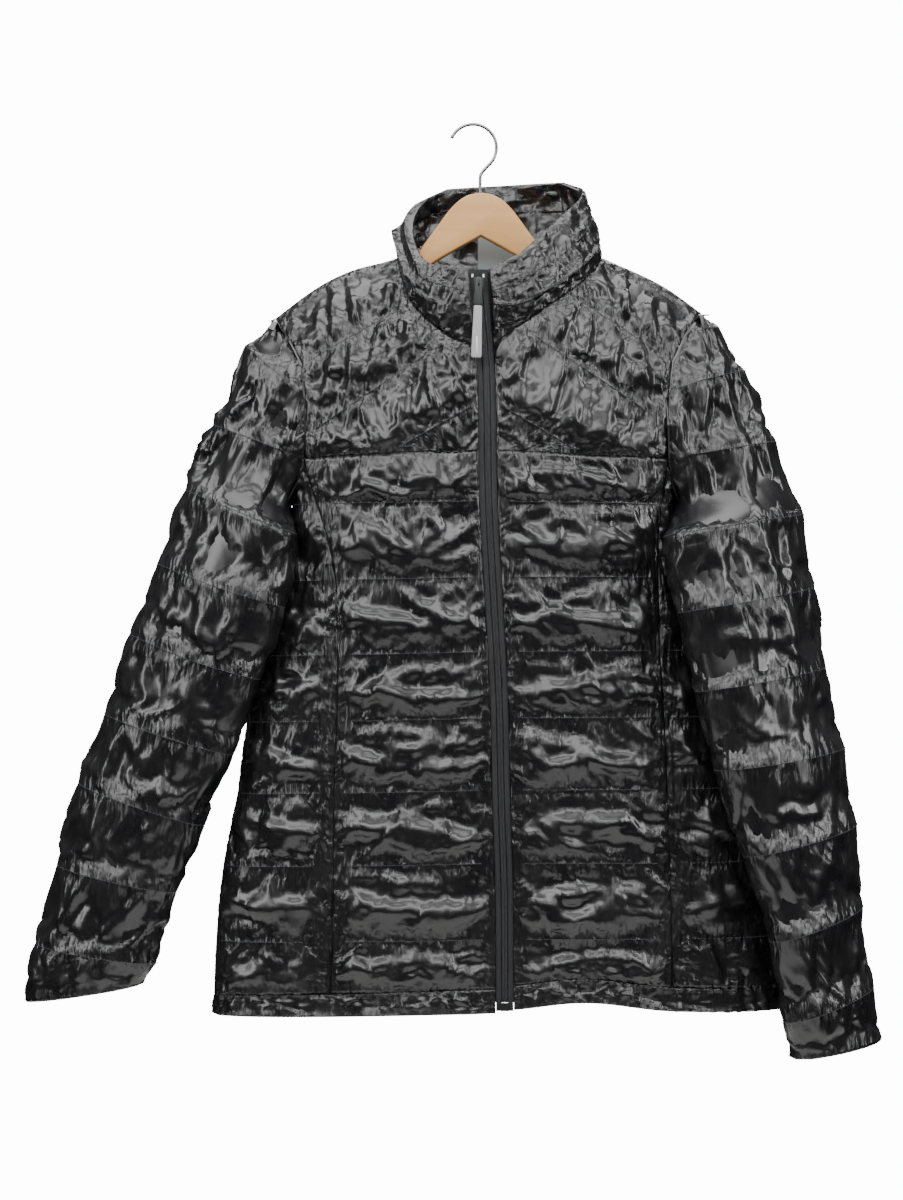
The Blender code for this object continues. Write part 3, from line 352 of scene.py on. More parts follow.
def wall_gaps(mesh, side, other):
    """How thick the wall is at each vertex of one side."""
    tree = KDTree(len(other))
    for n in other:
        tree.insert(mesh.verts[n].co, n)
    tree.balance()
    return {n: tree.find(mesh.verts[n].co)[2] for n in side}


LOOSE = 0.0011                    # a wall this much thicker than the thinnest is not stitched
FACES_OUT = 0.3                   # a face turned this far out or in belongs to that side
SEAM_CREASE, STITCH_CREASE = 1.0, 0.9
CORNER = math.radians(28)         # a seam that turns more than this has a corner


def mark_quilting(piece, node, both_sides=False):
    """Creases the seams and stitch lines, and remembers them as vertex groups."""
    mesh = bmesh.new()
    mesh.from_mesh(piece.data)
    mesh.verts.ensure_lookup_table()
    facing = {face: face.normal.dot(outward(node, face.calc_center_median())) for face in mesh.faces}
    layer = {face: (side > FACES_OUT) - (side < -FACES_OUT) for face, side in facing.items()}
    outside = {v.index for face in mesh.faces if layer[face] == 1 for v in face.verts}
    inside = {v.index for v in mesh.verts} - outside
    gap = wall_gaps(mesh, outside, inside)
    if both_sides:
        gap.update(wall_gaps(mesh, inside, outside))
    wall = float(np.percentile(list(gap.values()), 3))
    stitched = {n for n, width in gap.items() if width < wall + LOOSE}
    crease = mesh.edges.layers.float.new("crease_edge")
    corner = mesh.verts.layers.float.new("crease_vert")
    rim = {}
    for edge in mesh.edges:
        sides = {layer[face] for face in edge.link_faces}
        a, b = edge.verts
        if len(sides) > 1:
            edge[crease] = SEAM_CREASE
            for end, other in ((a, b), (b, a)):
                rim.setdefault(end, []).append((other.co - end.co).normalized())
        elif sides != {0} and a.index in stitched and b.index in stitched:
            edge[crease] = STITCH_CREASE
    for end, ways in rim.items():
        if len(ways) != 2 or ways[0].angle(-ways[1], 0) > CORNER:
            end[corner] = 1.0
    seam = {end.index for end in rim}
    groups = {"stitched": stitched | (seam & outside), "seam": seam,
              "lining": set() if both_sides else inside}
    mesh.to_mesh(piece.data)
    mesh.free()
    for name, members in groups.items():
        piece.vertex_groups.new(name=name).add(sorted(members), 1.0, "REPLACE")
    return len(outside), len(stitched)


def weights(piece, name):
    """A vertex group as an array."""
    index = piece.vertex_groups[name].index
    out = np.zeros(len(piece.data.vertices))
    for v in piece.data.vertices:
        for g in v.groups:
            if g.group == index:
                out[v.index] = g.weight
    return out


def read_vertices(piece, what):
    """One row of three numbers for each vertex."""
    out = np.empty(len(piece.data.vertices) * 3)
    piece.data.vertices.foreach_get(what, out)
    return out.reshape(-1, 3)


def points_of(piece):
    return read_vertices(piece, "co")


def normals_of(piece):
    return read_vertices(piece, "normal")


def set_points(piece, points):
    piece.data.vertices.foreach_set("co", np.asarray(points, float).ravel())
    piece.data.update()


# %% Simulated swelling
LEVELS = 3


FRAMES = 15


def swell(piece, growth, pressure, cap):
    """Lets the cloth between the stitch lines grow, fill and buckle, and keeps the result."""
    start = points_of(piece)
    sewn = np.maximum(weights(piece, "stitched") ** 6, weights(piece, "seam") ** 4)
    held = np.clip(np.maximum(sewn, weights(piece, "lining") * 1.5), 0, 1)
    group = piece.vertex_groups.new(name="held")
    for n in np.nonzero(held > 0.02)[0]:
        group.add([int(n)], float(held[n]), "REPLACE")
    cloth = piece.modifiers.new("swelling", "CLOTH")
    setting = cloth.settings
    setting.quality = 4
    setting.mass = 0.12
    setting.tension_stiffness = 14
    setting.compression_stiffness = 8
    setting.shear_stiffness = 4
    setting.bending_stiffness = 0.02
    setting.tension_damping = setting.compression_damping = setting.shear_damping = 6
    setting.air_damping = 3
    setting.vertex_group_mass = "held"
    setting.shrink_min = -growth
    setting.use_pressure = True
    setting.uniform_pressure_force = pressure
    setting.effector_weights.gravity = 0.25
    cloth.point_cache.frame_start = 1
    cloth.point_cache.frame_end = FRAMES
    for step in range(1, FRAMES + 1):
        bpy.context.scene.frame_set(step)
    only(piece)
    bpy.ops.object.modifier_apply(modifier=cloth.name)
    bpy.context.scene.frame_set(1)
    moved = points_of(piece) - start
    length = np.linalg.norm(moved, axis=1)
    limit = np.where(length > 1e-9, np.minimum(1.0, cap / np.maximum(length, 1e-9)), 1.0)
    set_points(piece, start + moved * limit[:, None])
    return float(length.max()), float((length > cap).mean())


# %% [markdown]
# ## Folds laid one by one
# The simulation gives the small pleats. The long creases are where this jacket pulls from its
# hanger and its armholes, so each has its own line, width and height in a table, and each is as
# uneven as cloth is. A raised fold has a furrow on one side.

# %% Fold tables
FRONT_FOLDS = [
    # x, z of one end, x, z of the other, half width, height (mm)
    (-52, -192, -20, -308, 4, 4.0), (-40, -196, 2, -275, 3.5, 3.4), (-66, -170, -62, -300, 5, 3.0),
    (-84, -140, -100, -310, 5, 3.6), (-100, -146, -128, -318, 4, 3.2), (-124, -150, -150, -300, 5, 4.0),
    (-148, -170, -158, -260, 4, 3.4), (-76, -140, -80, -250, 4, 2.4), (-112, -140, -110, -240, 3.5, 2.6),
    (62, -186, 34, -300, 5, 3.4), (84, -168, 66, -310, 4.5, 3.2), (104, -152, 98, -300, 5, 3.4),
    (122, -140, 132, -300, 4.5, 3.6), (146, -146, 160, -300, 5, 4.2), (170, -160, 182, -280, 5, 4.0),
    (136, -138, 148, -240, 4, 2.8), (46, -200, 30, -260, 3.5, 2.4), (92, -160, 84, -230, 3.5, 2.4),
    # across the middle: long slanting folds
    (-150, -345, -60, -425, 6, 3.2), (-118, -330, -20, -400, 5, 2.6), (-120, -390, -10, -455, 6, 3.0),
    (-124, -460, -20, -500, 6, 3.0), (-96, -440, 10, -480, 5, 2.4), (-124, -545, -10, -520, 6, 3.0),
    (-100, -530, 10, -560, 5, 2.4), (-126, -600, 0, -622, 7, 3.0), (-110, -585, -30, -578, 5, 2.6),
    (-130, -665, 12, -684, 7, 3.6), (-100, -655, 14, -648, 5, 2.4), (-126, -735, 6, -752, 7, 3.8),
    (-128, -722, -20, -716, 5, 2.6), (-130, -800, 4, -806, 6, 3.2), (-90, -792, 12, -786, 5, 2.4),
    (40, -335, 150, -352, 6, 3.0), (44, -345, 160, -420, 6, 3.0), (60, -392, 172, -362, 5, 2.6),
    (44, -450, 160, -494, 6, 3.0), (52, -470, 150, -446, 5, 2.4), (44, -540, 170, -520, 6, 3.2),
    (60, -556, 160, -560, 5, 2.4), (48, -590, 176, -610, 7, 3.4), (60, -620, 150, -600, 5, 2.4),
    (52, -660, 180, -676, 7, 3.6), (70, -690, 170, -656, 5, 2.4), (52, -728, 182, -744, 7, 3.8),
    (50, -760, 140, -742, 5, 2.6), (52, -796, 180, -800, 6, 3.2),
    # the side panels
    (-190, -400, -150, -440, 6, 3.4), (-205, -470, -136, -490, 6, 3.2), (-215, -545, -134, -530, 6, 3.2),
    (-222, -600, -136, -612, 6, 3.2), (-235, -672, -138, -668, 6, 3.4), (-240, -745, -140, -738, 6, 3.2),
    (205, -470, 182, -500, 6, 3.2), (232, -540, 184, -552, 6, 3.2), (250, -610, 190, -600, 6, 3.0),
    (262, -672, 190, -668, 6, 3.2), (270, -740, 195, -748, 6, 3.2),
]
BACK_FOLDS = [
    (-40, -150, -90, -330, 6, 3.4), (95, -150, 140, -330, 6, 3.4), (-80, -150, -140, -300, 6, 3.8),
    (130, -150, 180, -300, 6, 3.8), (10, -170, 0, -350, 6, 2.6), (50, -170, 64, -340, 6, 2.6),
    (-150, -390, -20, -420, 7, 3.2), (30, -400, 170, -388, 7, 3.0), (-160, -470, 10, -486, 7, 3.2),
    (60, -460, 190, -480, 7, 3.2), (-180, -545, -30, -530, 7, 3.2), (20, -548, 200, -536, 7, 3.4),
    (-190, -612, 0, -600, 7, 3.2), (40, -604, 220, -618, 7, 3.2), (-200, -672, -40, -682, 7, 3.4),
    (0, -676, 200, -668, 7, 3.4), (-210, -742, 20, -750, 7, 3.4), (60, -738, 230, -746, 7, 3.2),
]
RIGHT_SLEEVE_FOLDS = [
    (-205, -215, -262, -330, 6, 4.2), (-185, -235, -240, -380, 6, 4.0), (-172, -262, -205, -400, 5, 3.8),
    (-225, -240, -292, -360, 6, 3.6), (-240, -380, -300, -520, 7, 4.0), (-205, -410, -262, -560, 6, 3.6),
    (-280, -400, -335, -540, 6, 3.4), (-262, -560, -320, -700, 7, 3.8), (-320, -560, -372, -700, 6, 3.6),
    (-240, -600, -290, -720, 5, 3.2), (-310, -710, -350, -820, 6, 3.4), (-360, -690, -402, -810, 6, 3.6),
    (-335, -740, -372, -826, 5, 2.8), (-228, -500, -300, -470, 6, 2.6), (-262, -650, -340, -610, 6, 2.6),
]
LEFT_SLEEVE_FOLDS = [
    (232, -210, 262, -340, 6, 4.2), (212, -225, 226, -370, 6, 4.0), (196, -262, 204, -400, 5, 3.8),
    (262, -240, 292, -350, 6, 3.6), (246, -270, 312, -610, 7, 4.6), (222, -400, 262, -560, 6, 3.6),
    (288, -400, 330, -560, 6, 3.6), (262, -580, 300, -740, 7, 3.8), (318, -600, 346, -760, 6, 3.6),
    (244, -610, 272, -730, 5, 3.2), (300, -760, 326, -860, 6, 3.4), (350, -740, 372, -850, 6, 3.4),
    (330, -780, 350, -868, 5, 2.8), (230, -500, 300, -480, 6, 2.4), (262, -660, 338, -640, 6, 2.6),
]


BEND, BENDS = 0.006, 5.0            # how far a fold strays from straight, and how often
END_SHARE = 0.25                    # each end of a fold fades over this share of it
FURROW_DEPTH, FURROW_AWAY = 0.65, 1.9


def lay_folds(piece, folds, front):
    """Raises each fold along the cloth's own normals, on its own side of the jacket."""
    points, normals = points_of(piece), normals_of(piece)
    free = 1 - np.maximum(weights(piece, "stitched") ** 3, weights(piece, "lining"))
    facing = np.clip(normals[:, 1] * (-1 if front else 1) * 2.5 + 0.6, 0, 1)
    lift = np.zeros(len(points))
    for x0, z0, x1, z1, width, high in folds:
        a, b = np.array((x0, z0)) * MM, np.array((x1, z1)) * MM
        along = (b - a) / np.linalg.norm(b - a)
        across = np.array((-along[1], along[0]))
        seen_from_front = points[:, [0, 2]] - a
        share = seen_from_front @ along / np.linalg.norm(b - a)
        bend = BEND * np.sin(share * BENDS + x0)
        away = (seen_from_front @ across + bend) / (width * MM)
        ends = np.clip(np.minimum(share, 1 - share) / END_SHARE + 0.1, 0, 1)
        ends *= (share > -0.03) & (share < 1.03)
        lift += high * MM * ends * (np.exp(-away ** 2) - FURROW_DEPTH * np.exp(-(away - FURROW_AWAY) ** 2))
    set_points(piece, points + normals * (lift * free * facing)[:, None])


# %% Keep the size through smoothing
def round_off(piece):
    """Cuts each square into 64, smooth between the creases."""
    rounding = piece.modifiers.new("rounding", "SUBSURF")
    rounding.levels = rounding.render_levels = LEVELS
    apply_all(piece)


def hold_size(piece, share):
    """Moves the cage out by a share of what smoothing pulls in, so folded edges keep their place."""
    cage = points_of(piece)
    trial = piece.copy()
    trial.data = piece.data.copy()
    bpy.context.scene.collection.objects.link(trial)
    round_off(trial)
    smooth = points_of(trial)[:len(cage)]
    bpy.data.objects.remove(trial)
    set_points(piece, cage + (cage - smooth) * share)


# %% [markdown]
# Padding is never even: each channel is fuller in one place than in another and its middle wanders
# up and down. The cloth also keeps creases from the way it pulls: down the yokes, slanting across
# the middle, along the sleeves. Both come from noise with fixed offsets, so every run is the same.

# %% Uneven filling and creases
FILL_SLIDE, FILL_HEIGHT = 13, 4.5            # how far a channel's middle wanders, and its fullness (mm)
SLIDE_NOISE, HEIGHT_NOISE = 21, 38           # lumps in a metre
RIDGE_SHARE, SINK = 0.62, 0.25               # of a crease's height


def noise_at(points, scale=1.0, offset=(0, 0, 0)):
    """Smooth noise at each point."""
    return np.array([noise.noise(Vector(p) * scale + Vector(offset)) for p in points])


def ridge(wave, sharpness):
    """A narrow ridge along the places where the noise is zero."""
    return np.clip(1 - np.abs(wave) * sharpness, 0, 1) ** 1.3


def uneven_filling(piece, settle):
    """Lets the padding wander, and takes settle (mm) off the fullness."""
    points, normals = points_of(piece), normals_of(piece)
    free = 1 - np.maximum.reduce([weights(piece, name) for name in ("stitched", "seam", "lining")])
    slide = noise_at(points, SLIDE_NOISE, (3, 1, 8))
    height = noise_at(points, HEIGHT_NOISE, (9, 5, 2))
    points[:, 2] += slide * free * FILL_SLIDE * MM
    set_points(piece, points + normals * ((height * FILL_HEIGHT - settle) * MM * free)[:, None])


def crease(piece, angle, spacing, height, long=0.3):
    """Thin meandering creases that run mostly one way, at an angle from level in degrees."""
    points, normals = points_of(piece), normals_of(piece)
    free = 1 - np.maximum.reduce([weights(piece, "stitched") ** 3, weights(piece, "seam"),
                                  weights(piece, "lining")])
    turn = math.radians(angle)
    along = (points[:, 0] * math.cos(turn) + points[:, 2] * math.sin(turn)) * long / spacing / MM
    across = (points[:, 2] * math.cos(turn) - points[:, 0] * math.sin(turn)) / spacing / MM
    deep = points[:, 1] / spacing / MM * 0.5
    wave = np.array([noise.noise(p) for p in zip(along, across, deep)])
    finer = np.array([noise.noise((u * 1.9 + 7, v * 1.9, w * 1.9 + 3))
                      for u, v, w in zip(along, across, deep)])
    ridges = ridge(wave, 4.5) + 0.5 * ridge(finer, 4)
    swells = wave * 1.1
    lift = (ridges * RIDGE_SHARE + swells - SINK) * height * MM * free
    set_points(piece, points + normals * lift[:, None])


# %% A sleeve rests against the body
SLEEVE_HALF_WIDTH = 0.05
FADE_TOP, FADE_BOTTOM = 0.05, 0.09


def lean_in(piece, node, by, top, bottom):
    """The inner edge of a hanging sleeve lies on the body's side, from under the armhole to the elbow."""
    points = points_of(piece)
    axis = np.array(AXES[node], float)[::-1] * MM
    middle = np.interp(points[:, 2], axis[:, 2], axis[:, 0])
    inward = np.clip((points[:, 0] - middle) * -math.copysign(1, middle[0]) / SLEEVE_HALF_WIDTH, 0, 1) ** 2
    fade = np.clip((top * MM - points[:, 2]) / FADE_TOP, 0, 1)
    fade *= np.clip((points[:, 2] - bottom * MM) / FADE_BOTTOM, 0, 1)
    points[:, 0] -= math.copysign(by * MM, middle[0]) * inward * fade
    set_points(piece, points)


# %% Make one quilted panel
HELD_SHARE = 0.6                  # of what smoothing would pull in


def quilted(node, name, growth=0.07, pressure=3.0, cap=0.006, folds=(), sides="front", both_sides=False,
            settle=0.0, creases=(), lean=None):
    """A swollen, creased panel that stands for a quilted wall of the frame.

    Growth is a share of the cloth's length, cap (m) the most that the swelling may move it, settle (mm)
    what its padding has lost, creases are (angle, spacing, height), and lean is for lean_in.
    """
    piece = copy_of(node, name)
    counts = mark_quilting(piece, node, both_sides)
    if lean:
        lean_in(piece, node, *lean)
    uneven_filling(piece, settle)
    hold_size(piece, HELD_SHARE)
    round_off(piece)
    for angle, spacing, height in creases:
        crease(piece, angle, spacing, height)
    moved = swell(piece, growth, pressure, cap)
    if sides in ("front", "both"):
        lay_folds(piece, folds, front=True)
    if sides in ("back", "both"):
        lay_folds(piece, folds, front=False)
    gathered = piece.data.attributes.new("gathered", "FLOAT", "POINT")
    gathered.data.foreach_set("value", weights(piece, "stitched"))
    piece.data.materials.append(nylon)
    piece.data.shade_smooth()
    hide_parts(node)
    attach(piece, "jacket")
    print(name, "faces", len(piece.data.polygons), "outer and stitched", counts, "moved", moved)
    return piece


# %% Body panels
PANELS = {}
CREASES = {
    # angle from level (degrees), spacing and height (mm) of each set
    "front_yoke_right": ((-82, 13, 2.4), (-70, 26, 2.0)), "front_yoke_left": ((84, 13, 2.4), (66, 26, 2.2)),
    "front_panel_right": ((38, 22, 2.8), (12, 34, 2.6)), "front_panel_left": ((-36, 22, 2.8), (-10, 34, 2.6)),
    "side_panel_right": ((48, 20, 2.6), (-20, 32, 2.0)), "side_panel_left": ((-48, 20, 2.6), (20, 32, 2.0)),
}
for node, creases in CREASES.items():
    PANELS[node] = quilted(node, "quilted_" + node, folds=FRONT_FOLDS, creases=creases, growth=0.05,
                           pressure=2.0)

# %% Back, sleeves, collar and hem
PANELS["back_panel"] = quilted("back_panel", "quilted_back", folds=BACK_FOLDS, sides="back", growth=0.05,
                               creases=((25, 26, 2.4), (-70, 34, 2.0)), pressure=2.0)
PANELS["sleeve_right"] = quilted("sleeve_right", "quilted_sleeve_right", growth=0.03, pressure=0.5,
                                 folds=RIGHT_SLEEVE_FOLDS, sides="both", settle=3.0,
                                 creases=((70, 24, 2.4), (40, 36, 2.0)), lean=(11, -375, -640))
PANELS["sleeve_left"] = quilted("sleeve_left", "quilted_sleeve_left", growth=0.03, pressure=0.5,
                                folds=LEFT_SLEEVE_FOLDS, sides="both", settle=3.0,
                                creases=((-80, 24, 2.4), (-45, 36, 2.0)), lean=(11, -365, -720))
PANELS["collar"] = quilted("collar", "quilted_collar", cap=0.004, pressure=1.5, both_sides=True,
                           creases=((60, 18, 1.6),))
PANELS["hem_band"] = quilted("hem_band", "gathered_hem", growth=0.12, cap=0.003, creases=((90, 9, 1.8),))

# %% [markdown]
# Where a sleeve is sewn in, the edges of both cloths are turned inside. That seam allowance
# closes the seam from behind, so a narrow strip is laid there: the sleeve's own edge, thickened.

# %% Seam allowance inside each armhole
NARROW, STRIP_FOOT, STRIP_WALL = 0.0042, -0.385, 0.0016
ALLOWANCES = {}
for side in ("right", "left"):
    strip = copy_of("sleeve_" + side, "armhole_seam_" + side)
    mesh = bmesh.new()
    mesh.from_mesh(strip.data)
    tip = max((face.calc_center_median() for face in mesh.faces), key=lambda middle: middle.z)
    narrow = {face for face in mesh.faces if min(edge.calc_length() for edge in face.edges) < NARROW
              and face.calc_center_median().z > STRIP_FOOT
              and abs(face.calc_center_median().x) < abs(tip.x) + 0.003}
    bmesh.ops.delete(mesh, geom=[face for face in mesh.faces if face not in narrow], context="FACES")
    mesh.to_mesh(strip.data)
    mesh.free()
    turned = strip.modifiers.new("turned_edge", "SOLIDIFY")
    turned.thickness, turned.offset = STRIP_WALL, 0.0
    apply_all(strip)
    strip.data.materials.append(nylon)
    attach(strip, "jacket")
    ALLOWANCES["sleeve_" + side] = strip
    print(strip.name, len(narrow), "faces")

# %% [markdown]
# ## Stitches
# A lockstitch shows on top as a row of short threads, each pulled a little into the cloth. One
# stitch is modelled as a small bar and copied along every quilting line, one for each
# three millimetres or so, lying along the line.

# %% One stitch
def small_bar(name, size, round_by):
    """A rounded bar about the origin, to be copied."""
    bpy.ops.object.select_all(action="DESELECT")
    bpy.ops.mesh.primitive_cube_add(size=1)
    bar = bpy.context.object
    bar.name = name
    bpy.ops.object.mode_set(mode="EDIT")
    bpy.ops.transform.resize(value=size)
    if round_by:
        bpy.ops.mesh.bevel(offset=round_by, segments=1)
    bpy.ops.object.mode_set(mode="OBJECT")
    return bar


def repeated(bar, name, places):
    """One mesh of many copies of a bar; a place is (middle, its x, y and z directions)."""
    shape = points_of(bar)
    faces = [list(face.vertices) for face in bar.data.polygons]
    verts = np.concatenate([shape @ np.array(axes) + np.array(middle) for middle, axes in places])
    all_faces = [[v + n * len(shape) for v in face] for n in range(len(places)) for face in faces]
    mesh = bpy.data.meshes.new(name)
    mesh.from_pydata(verts.tolist(), [], all_faces)
    piece = bpy.data.objects.new(name, mesh)
    bpy.context.scene.collection.objects.link(piece)
    bpy.data.objects.remove(bar)
    return piece


# %% Sew every quilting line
def stitch_places(piece):
    """Along each stitch line that isn't a seam, a place for every edge of the mesh."""
    points, normals = points_of(piece), normals_of(piece)
    sewn = (weights(piece, "stitched") > 0.995) & (weights(piece, "seam") < 0.4)
    sewn &= weights(piece, "lining") < 0.01
    places = []
    for edge in piece.data.edges:
        a, b = edge.vertices
        if not (sewn[a] and sewn[b]):
            continue
        along = points[b] - points[a]
        length = np.linalg.norm(along)
        up = normals[a] + normals[b]
        up = up / max(np.linalg.norm(up), 1e-6)
        along = along / max(length, 1e-6)
        across = np.cross(up, along)
        middle = (points[a] + points[b]) / 2 + up * 0.0001
        places.append((middle, (along * length * 0.72, across, up)))
    return places


SEWN = {}
for node, piece in PANELS.items():
    places = stitch_places(piece)
    print(node, len(places), "stitches")
    if not places:
        continue
    stitches = repeated(small_bar("stitch", (1.0, 0.0007, 0.0005), 0), "stitches_" + node, places)
    stitches.data.materials.append(thread)
    stitches.data.shade_smooth()
    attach(stitches, "jacket")
    SEWN[node] = [stitches]
    if node in ALLOWANCES:
        SEWN[node].append(ALLOWANCES[node])

# %% What each panel was cut to
CUTS = {
    # width and length of the cut (m), the share of that rectangle which the cut fills, how it is held
    "front_yoke_right": (0.200, 0.200, 0.75, "hung"), "front_yoke_left": (0.203, 0.200, 0.75, "hung"),
    "front_panel_right": (0.184, 0.516, 0.84, "hung"), "front_panel_left": (0.168, 0.509, 0.92, "hung"),
    "side_panel_right": (0.125, 0.516, 0.78, "hung"), "side_panel_left": (0.130, 0.509, 0.60, "hung"),
    "back_panel": (0.560, 0.710, 0.81, "hung"), "sleeve_right": (0.400, 0.680, 0.74, "hung"),
    "sleeve_left": (0.410, 0.720, 0.73, "hung"), "collar": (0.460, 0.095, 0.87, "hung"),
    "hem_band": (1.130, 0.030, 0.92, "gathered"),
}
for node, (width, length, share, held) in CUTS.items():
    surface = sum(face.area for face in PANELS[node].data.polygons) / 2
    print(node, "cut", round(width * length * share, 4), "cloth now", round(surface, 4))

# %% [markdown]
# ## Zip
# A coil zip is two woven tapes, each with a nylon coil sewn to its edge, and a slider that meshes
# them. The coil's loops show as two rows of small rounded teeth. The tapes and the flap behind
# them are thin woven strips, so each copy is cut finer, given a slight wave and shaded smooth.

# %% Woven strips
def woven_strip(node, name, cloth, wave):
    """A thin strip that stands for a tape or flap of the frame, with a slight wave."""
    strip = copy_of(node, name)
    only(strip)
    bpy.ops.object.mode_set(mode="EDIT")
    bpy.ops.mesh.select_all(action="SELECT")
    bpy.ops.mesh.subdivide(number_cuts=3)
    bpy.ops.object.mode_set(mode="OBJECT")
    points = points_of(strip)
    points[:, 1] += wave * MM * np.sin(points[:, 2] * 70 + 2 * np.sin(points[:, 2] * 23)) * 0.5
    set_points(strip, points)
    strip.data.materials.append(cloth)
    strip.data.shade_smooth()
    bpy.ops.object.shade_smooth_by_angle(angle=math.radians(40))
    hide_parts(node)
    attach(strip, "jacket")
    return strip


for side in ("right", "left"):
    woven_strip("zip_tape_" + side, "woven_tape_" + side, tape_cloth, 0.4)
woven_strip("wind_flap", "lining_flap", lining_cloth, 2.0)

# %% Coil teeth
low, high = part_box("zip_chain")
chain = points_of(copy_of("zip_chain", "chain_guide"))
bpy.data.objects.remove(bpy.data.objects["chain_guide"])
PITCH = 1.45 * MM
TOOTH_LEAN, TOOTH_OUT = 0.16, 1.25
levels = sorted(set(np.round(chain[:, 2], 5)))
middles = [chain[np.abs(chain[:, 2] - z) < 2e-5] for z in levels]
level_x, level_y = [m[:, 0].mean() for m in middles], [m[:, 1].min() for m in middles]
places = []
for z in np.arange(low.z + 0.002, high.z - 0.001, PITCH):
    x, y = np.interp(z, levels, level_x), np.interp(z, levels, level_y)
    for side in (-1, 1):
        lean = TOOTH_LEAN * side
        axes = ((math.cos(lean), 0, math.sin(lean)), (0, 1, 0), (-math.sin(lean), 0, math.cos(lean)))
        places.append(((x + side * TOOTH_OUT * MM, y, z + (side > 0) * PITCH / 2), axes))
teeth = repeated(small_bar("tooth", (0.0021, 0.0012, 0.0009), 0.00025), "coil_teeth", places)
teeth.data.materials.append(coil)
teeth.data.shade_smooth()
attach(teeth, "jacket")
print("teeth", len(places))

# %% Rows of thread that hold the tape
TAPE_STITCH, TAPE_ROW = 2.6, 4.3
places = []
for z in np.arange(low.z + 0.004, high.z - 0.002, TAPE_STITCH * MM):
    x, y = np.interp(z, levels, level_x), np.interp(z, levels, level_y)
    for side in (-1, 1):
        places.append(((x + side * TAPE_ROW * MM, y + 0.35 * MM, z), ((1, 0, 0), (0, 1, 0), (0, 0, 1))))
tape_thread = repeated(small_bar("tape_stitch", (0.0005, 0.0005, 0.0019), 0), "tape_thread", places)
tape_thread.data.materials.append(thread)
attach(tape_thread, "jacket")


# %% [markdown]
# The slider is a cast body, narrower at its foot, with a bridge that holds the pull. The pull is
# a stamped link and a moulded grey tab with a raised ridge, whose near-white colour is a painted
# highlight. They are small, so a tapered and rounded body with the bridge as its own arch is enough
# to read at any view.

# %% Slider
bpy.ops.object.select_all(action="DESELECT")
low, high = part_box("zip_slider")
middle, size = (low + high) / 2, high - low
bpy.ops.mesh.primitive_cube_add(size=1, location=middle)
slider = bpy.context.object
slider.name = "cast_slider"
bpy.ops.object.mode_set(mode="EDIT")
bpy.ops.transform.resize(value=tuple(size))
bpy.ops.mesh.subdivide(number_cuts=2)
bpy.ops.object.mode_set(mode="OBJECT")
bpy.ops.object.transform_apply(location=True, rotation=True, scale=True)
points = points_of(slider)
foot = np.clip((middle.z - points[:, 2]) / (size.z / 2), 0, 1)
points[:, 0] = middle.x + (points[:, 0] - middle.x) * (1 - 0.32 * foot ** 1.5)
set_points(slider, points)
edge_round = slider.modifiers.new("cast_edges", "BEVEL")
edge_round.width, edge_round.segments = 0.0007, 3
apply_all(slider)
bpy.ops.mesh.primitive_torus_add(location=(middle.x, low.y - 0.0006, middle.z + 0.001), major_radius=0.0034,
                                 minor_radius=0.0009, major_segments=24, minor_segments=8,
                                 rotation=(0, math.radians(90), 0))
bridge = bpy.context.object
bridge.select_set(True)
slider.select_set(True)
bpy.context.view_layer.objects.active = slider
bpy.ops.object.join()
slider.data.materials.clear()
slider.data.materials.append(lacquer)
only(slider)
bpy.ops.object.shade_smooth_by_angle(angle=math.radians(35))
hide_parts("zip_slider")
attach(slider, "jacket")
print("slider", [round(v * 1000, 1) for v in slider.dimensions])


# %% Rounded copies of the small flat parts
def rounded_copy(node, name, width, material, body, segments=3):
    """A copy of a frame node with its sharp edges rounded."""
    piece = copy_of(node, name)
    only(piece)
    bpy.ops.object.mode_set(mode="EDIT")
    bpy.ops.mesh.select_all(action="SELECT")
    bpy.ops.mesh.dissolve_limited(angle_limit=math.radians(2))
    bpy.ops.object.mode_set(mode="OBJECT")
    rounding = piece.modifiers.new("rounded_edges", "BEVEL")
    rounding.width, rounding.segments = width * MM, segments
    rounding.limit_method, rounding.angle_limit = "ANGLE", math.radians(50)
    apply_all(piece)
    piece.data.materials.append(material)
    bpy.ops.object.shade_smooth_by_angle(angle=math.radians(35))
    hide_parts(node)
    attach(piece, body)
    return piece


rounded_copy("zip_pull_link", "stamped_link", 0.4, lacquer, "zip_pull")
rounded_copy("zip_pull_tab", "moulded_tab", 0.8, soft_plastic, "zip_pull")

# %% Raised ridge on the tab, coloured near white as a painted highlight
low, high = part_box("zip_pull_tab")
ridge = small_bar("tab_ridge", (0.0016, 0.0009, 0.0165), 0.0004)
points = points_of(ridge)
points += np.array(((low.x + high.x) / 2 + 0.0003, low.y - 0.0001, low.z + 0.0115))
set_points(ridge, points)
# The near-white finish on the ridge is a painted highlight.
ridge.data.materials.append(tab_ridge_highlight_paint)
ridge.data.shade_smooth()
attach(ridge, "zip_pull")

# %% Finishes of the small metal parts that stay as they are in the frame
for node, material in (("zip_chain", coil), ("zip_stop_right", bright), ("zip_stop_left", bright),
                       ("zip_box", lacquer)):
    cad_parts[node].data.materials.clear()
    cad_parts[node].data.materials.append(material)

# %% [markdown]
# ## Label and hanger
# The label is a woven satin tape, left bare. The hanger is sawn from a flat board and its edges
# are rounded with a cutter, so its outline is a smooth curve with a notch below. The hook is one
# drawn wire, plated, with a rounded tip.

# %% Label
label = rounded_copy("neck_label", "woven_label", 0.15, label_satin, "jacket", 2)


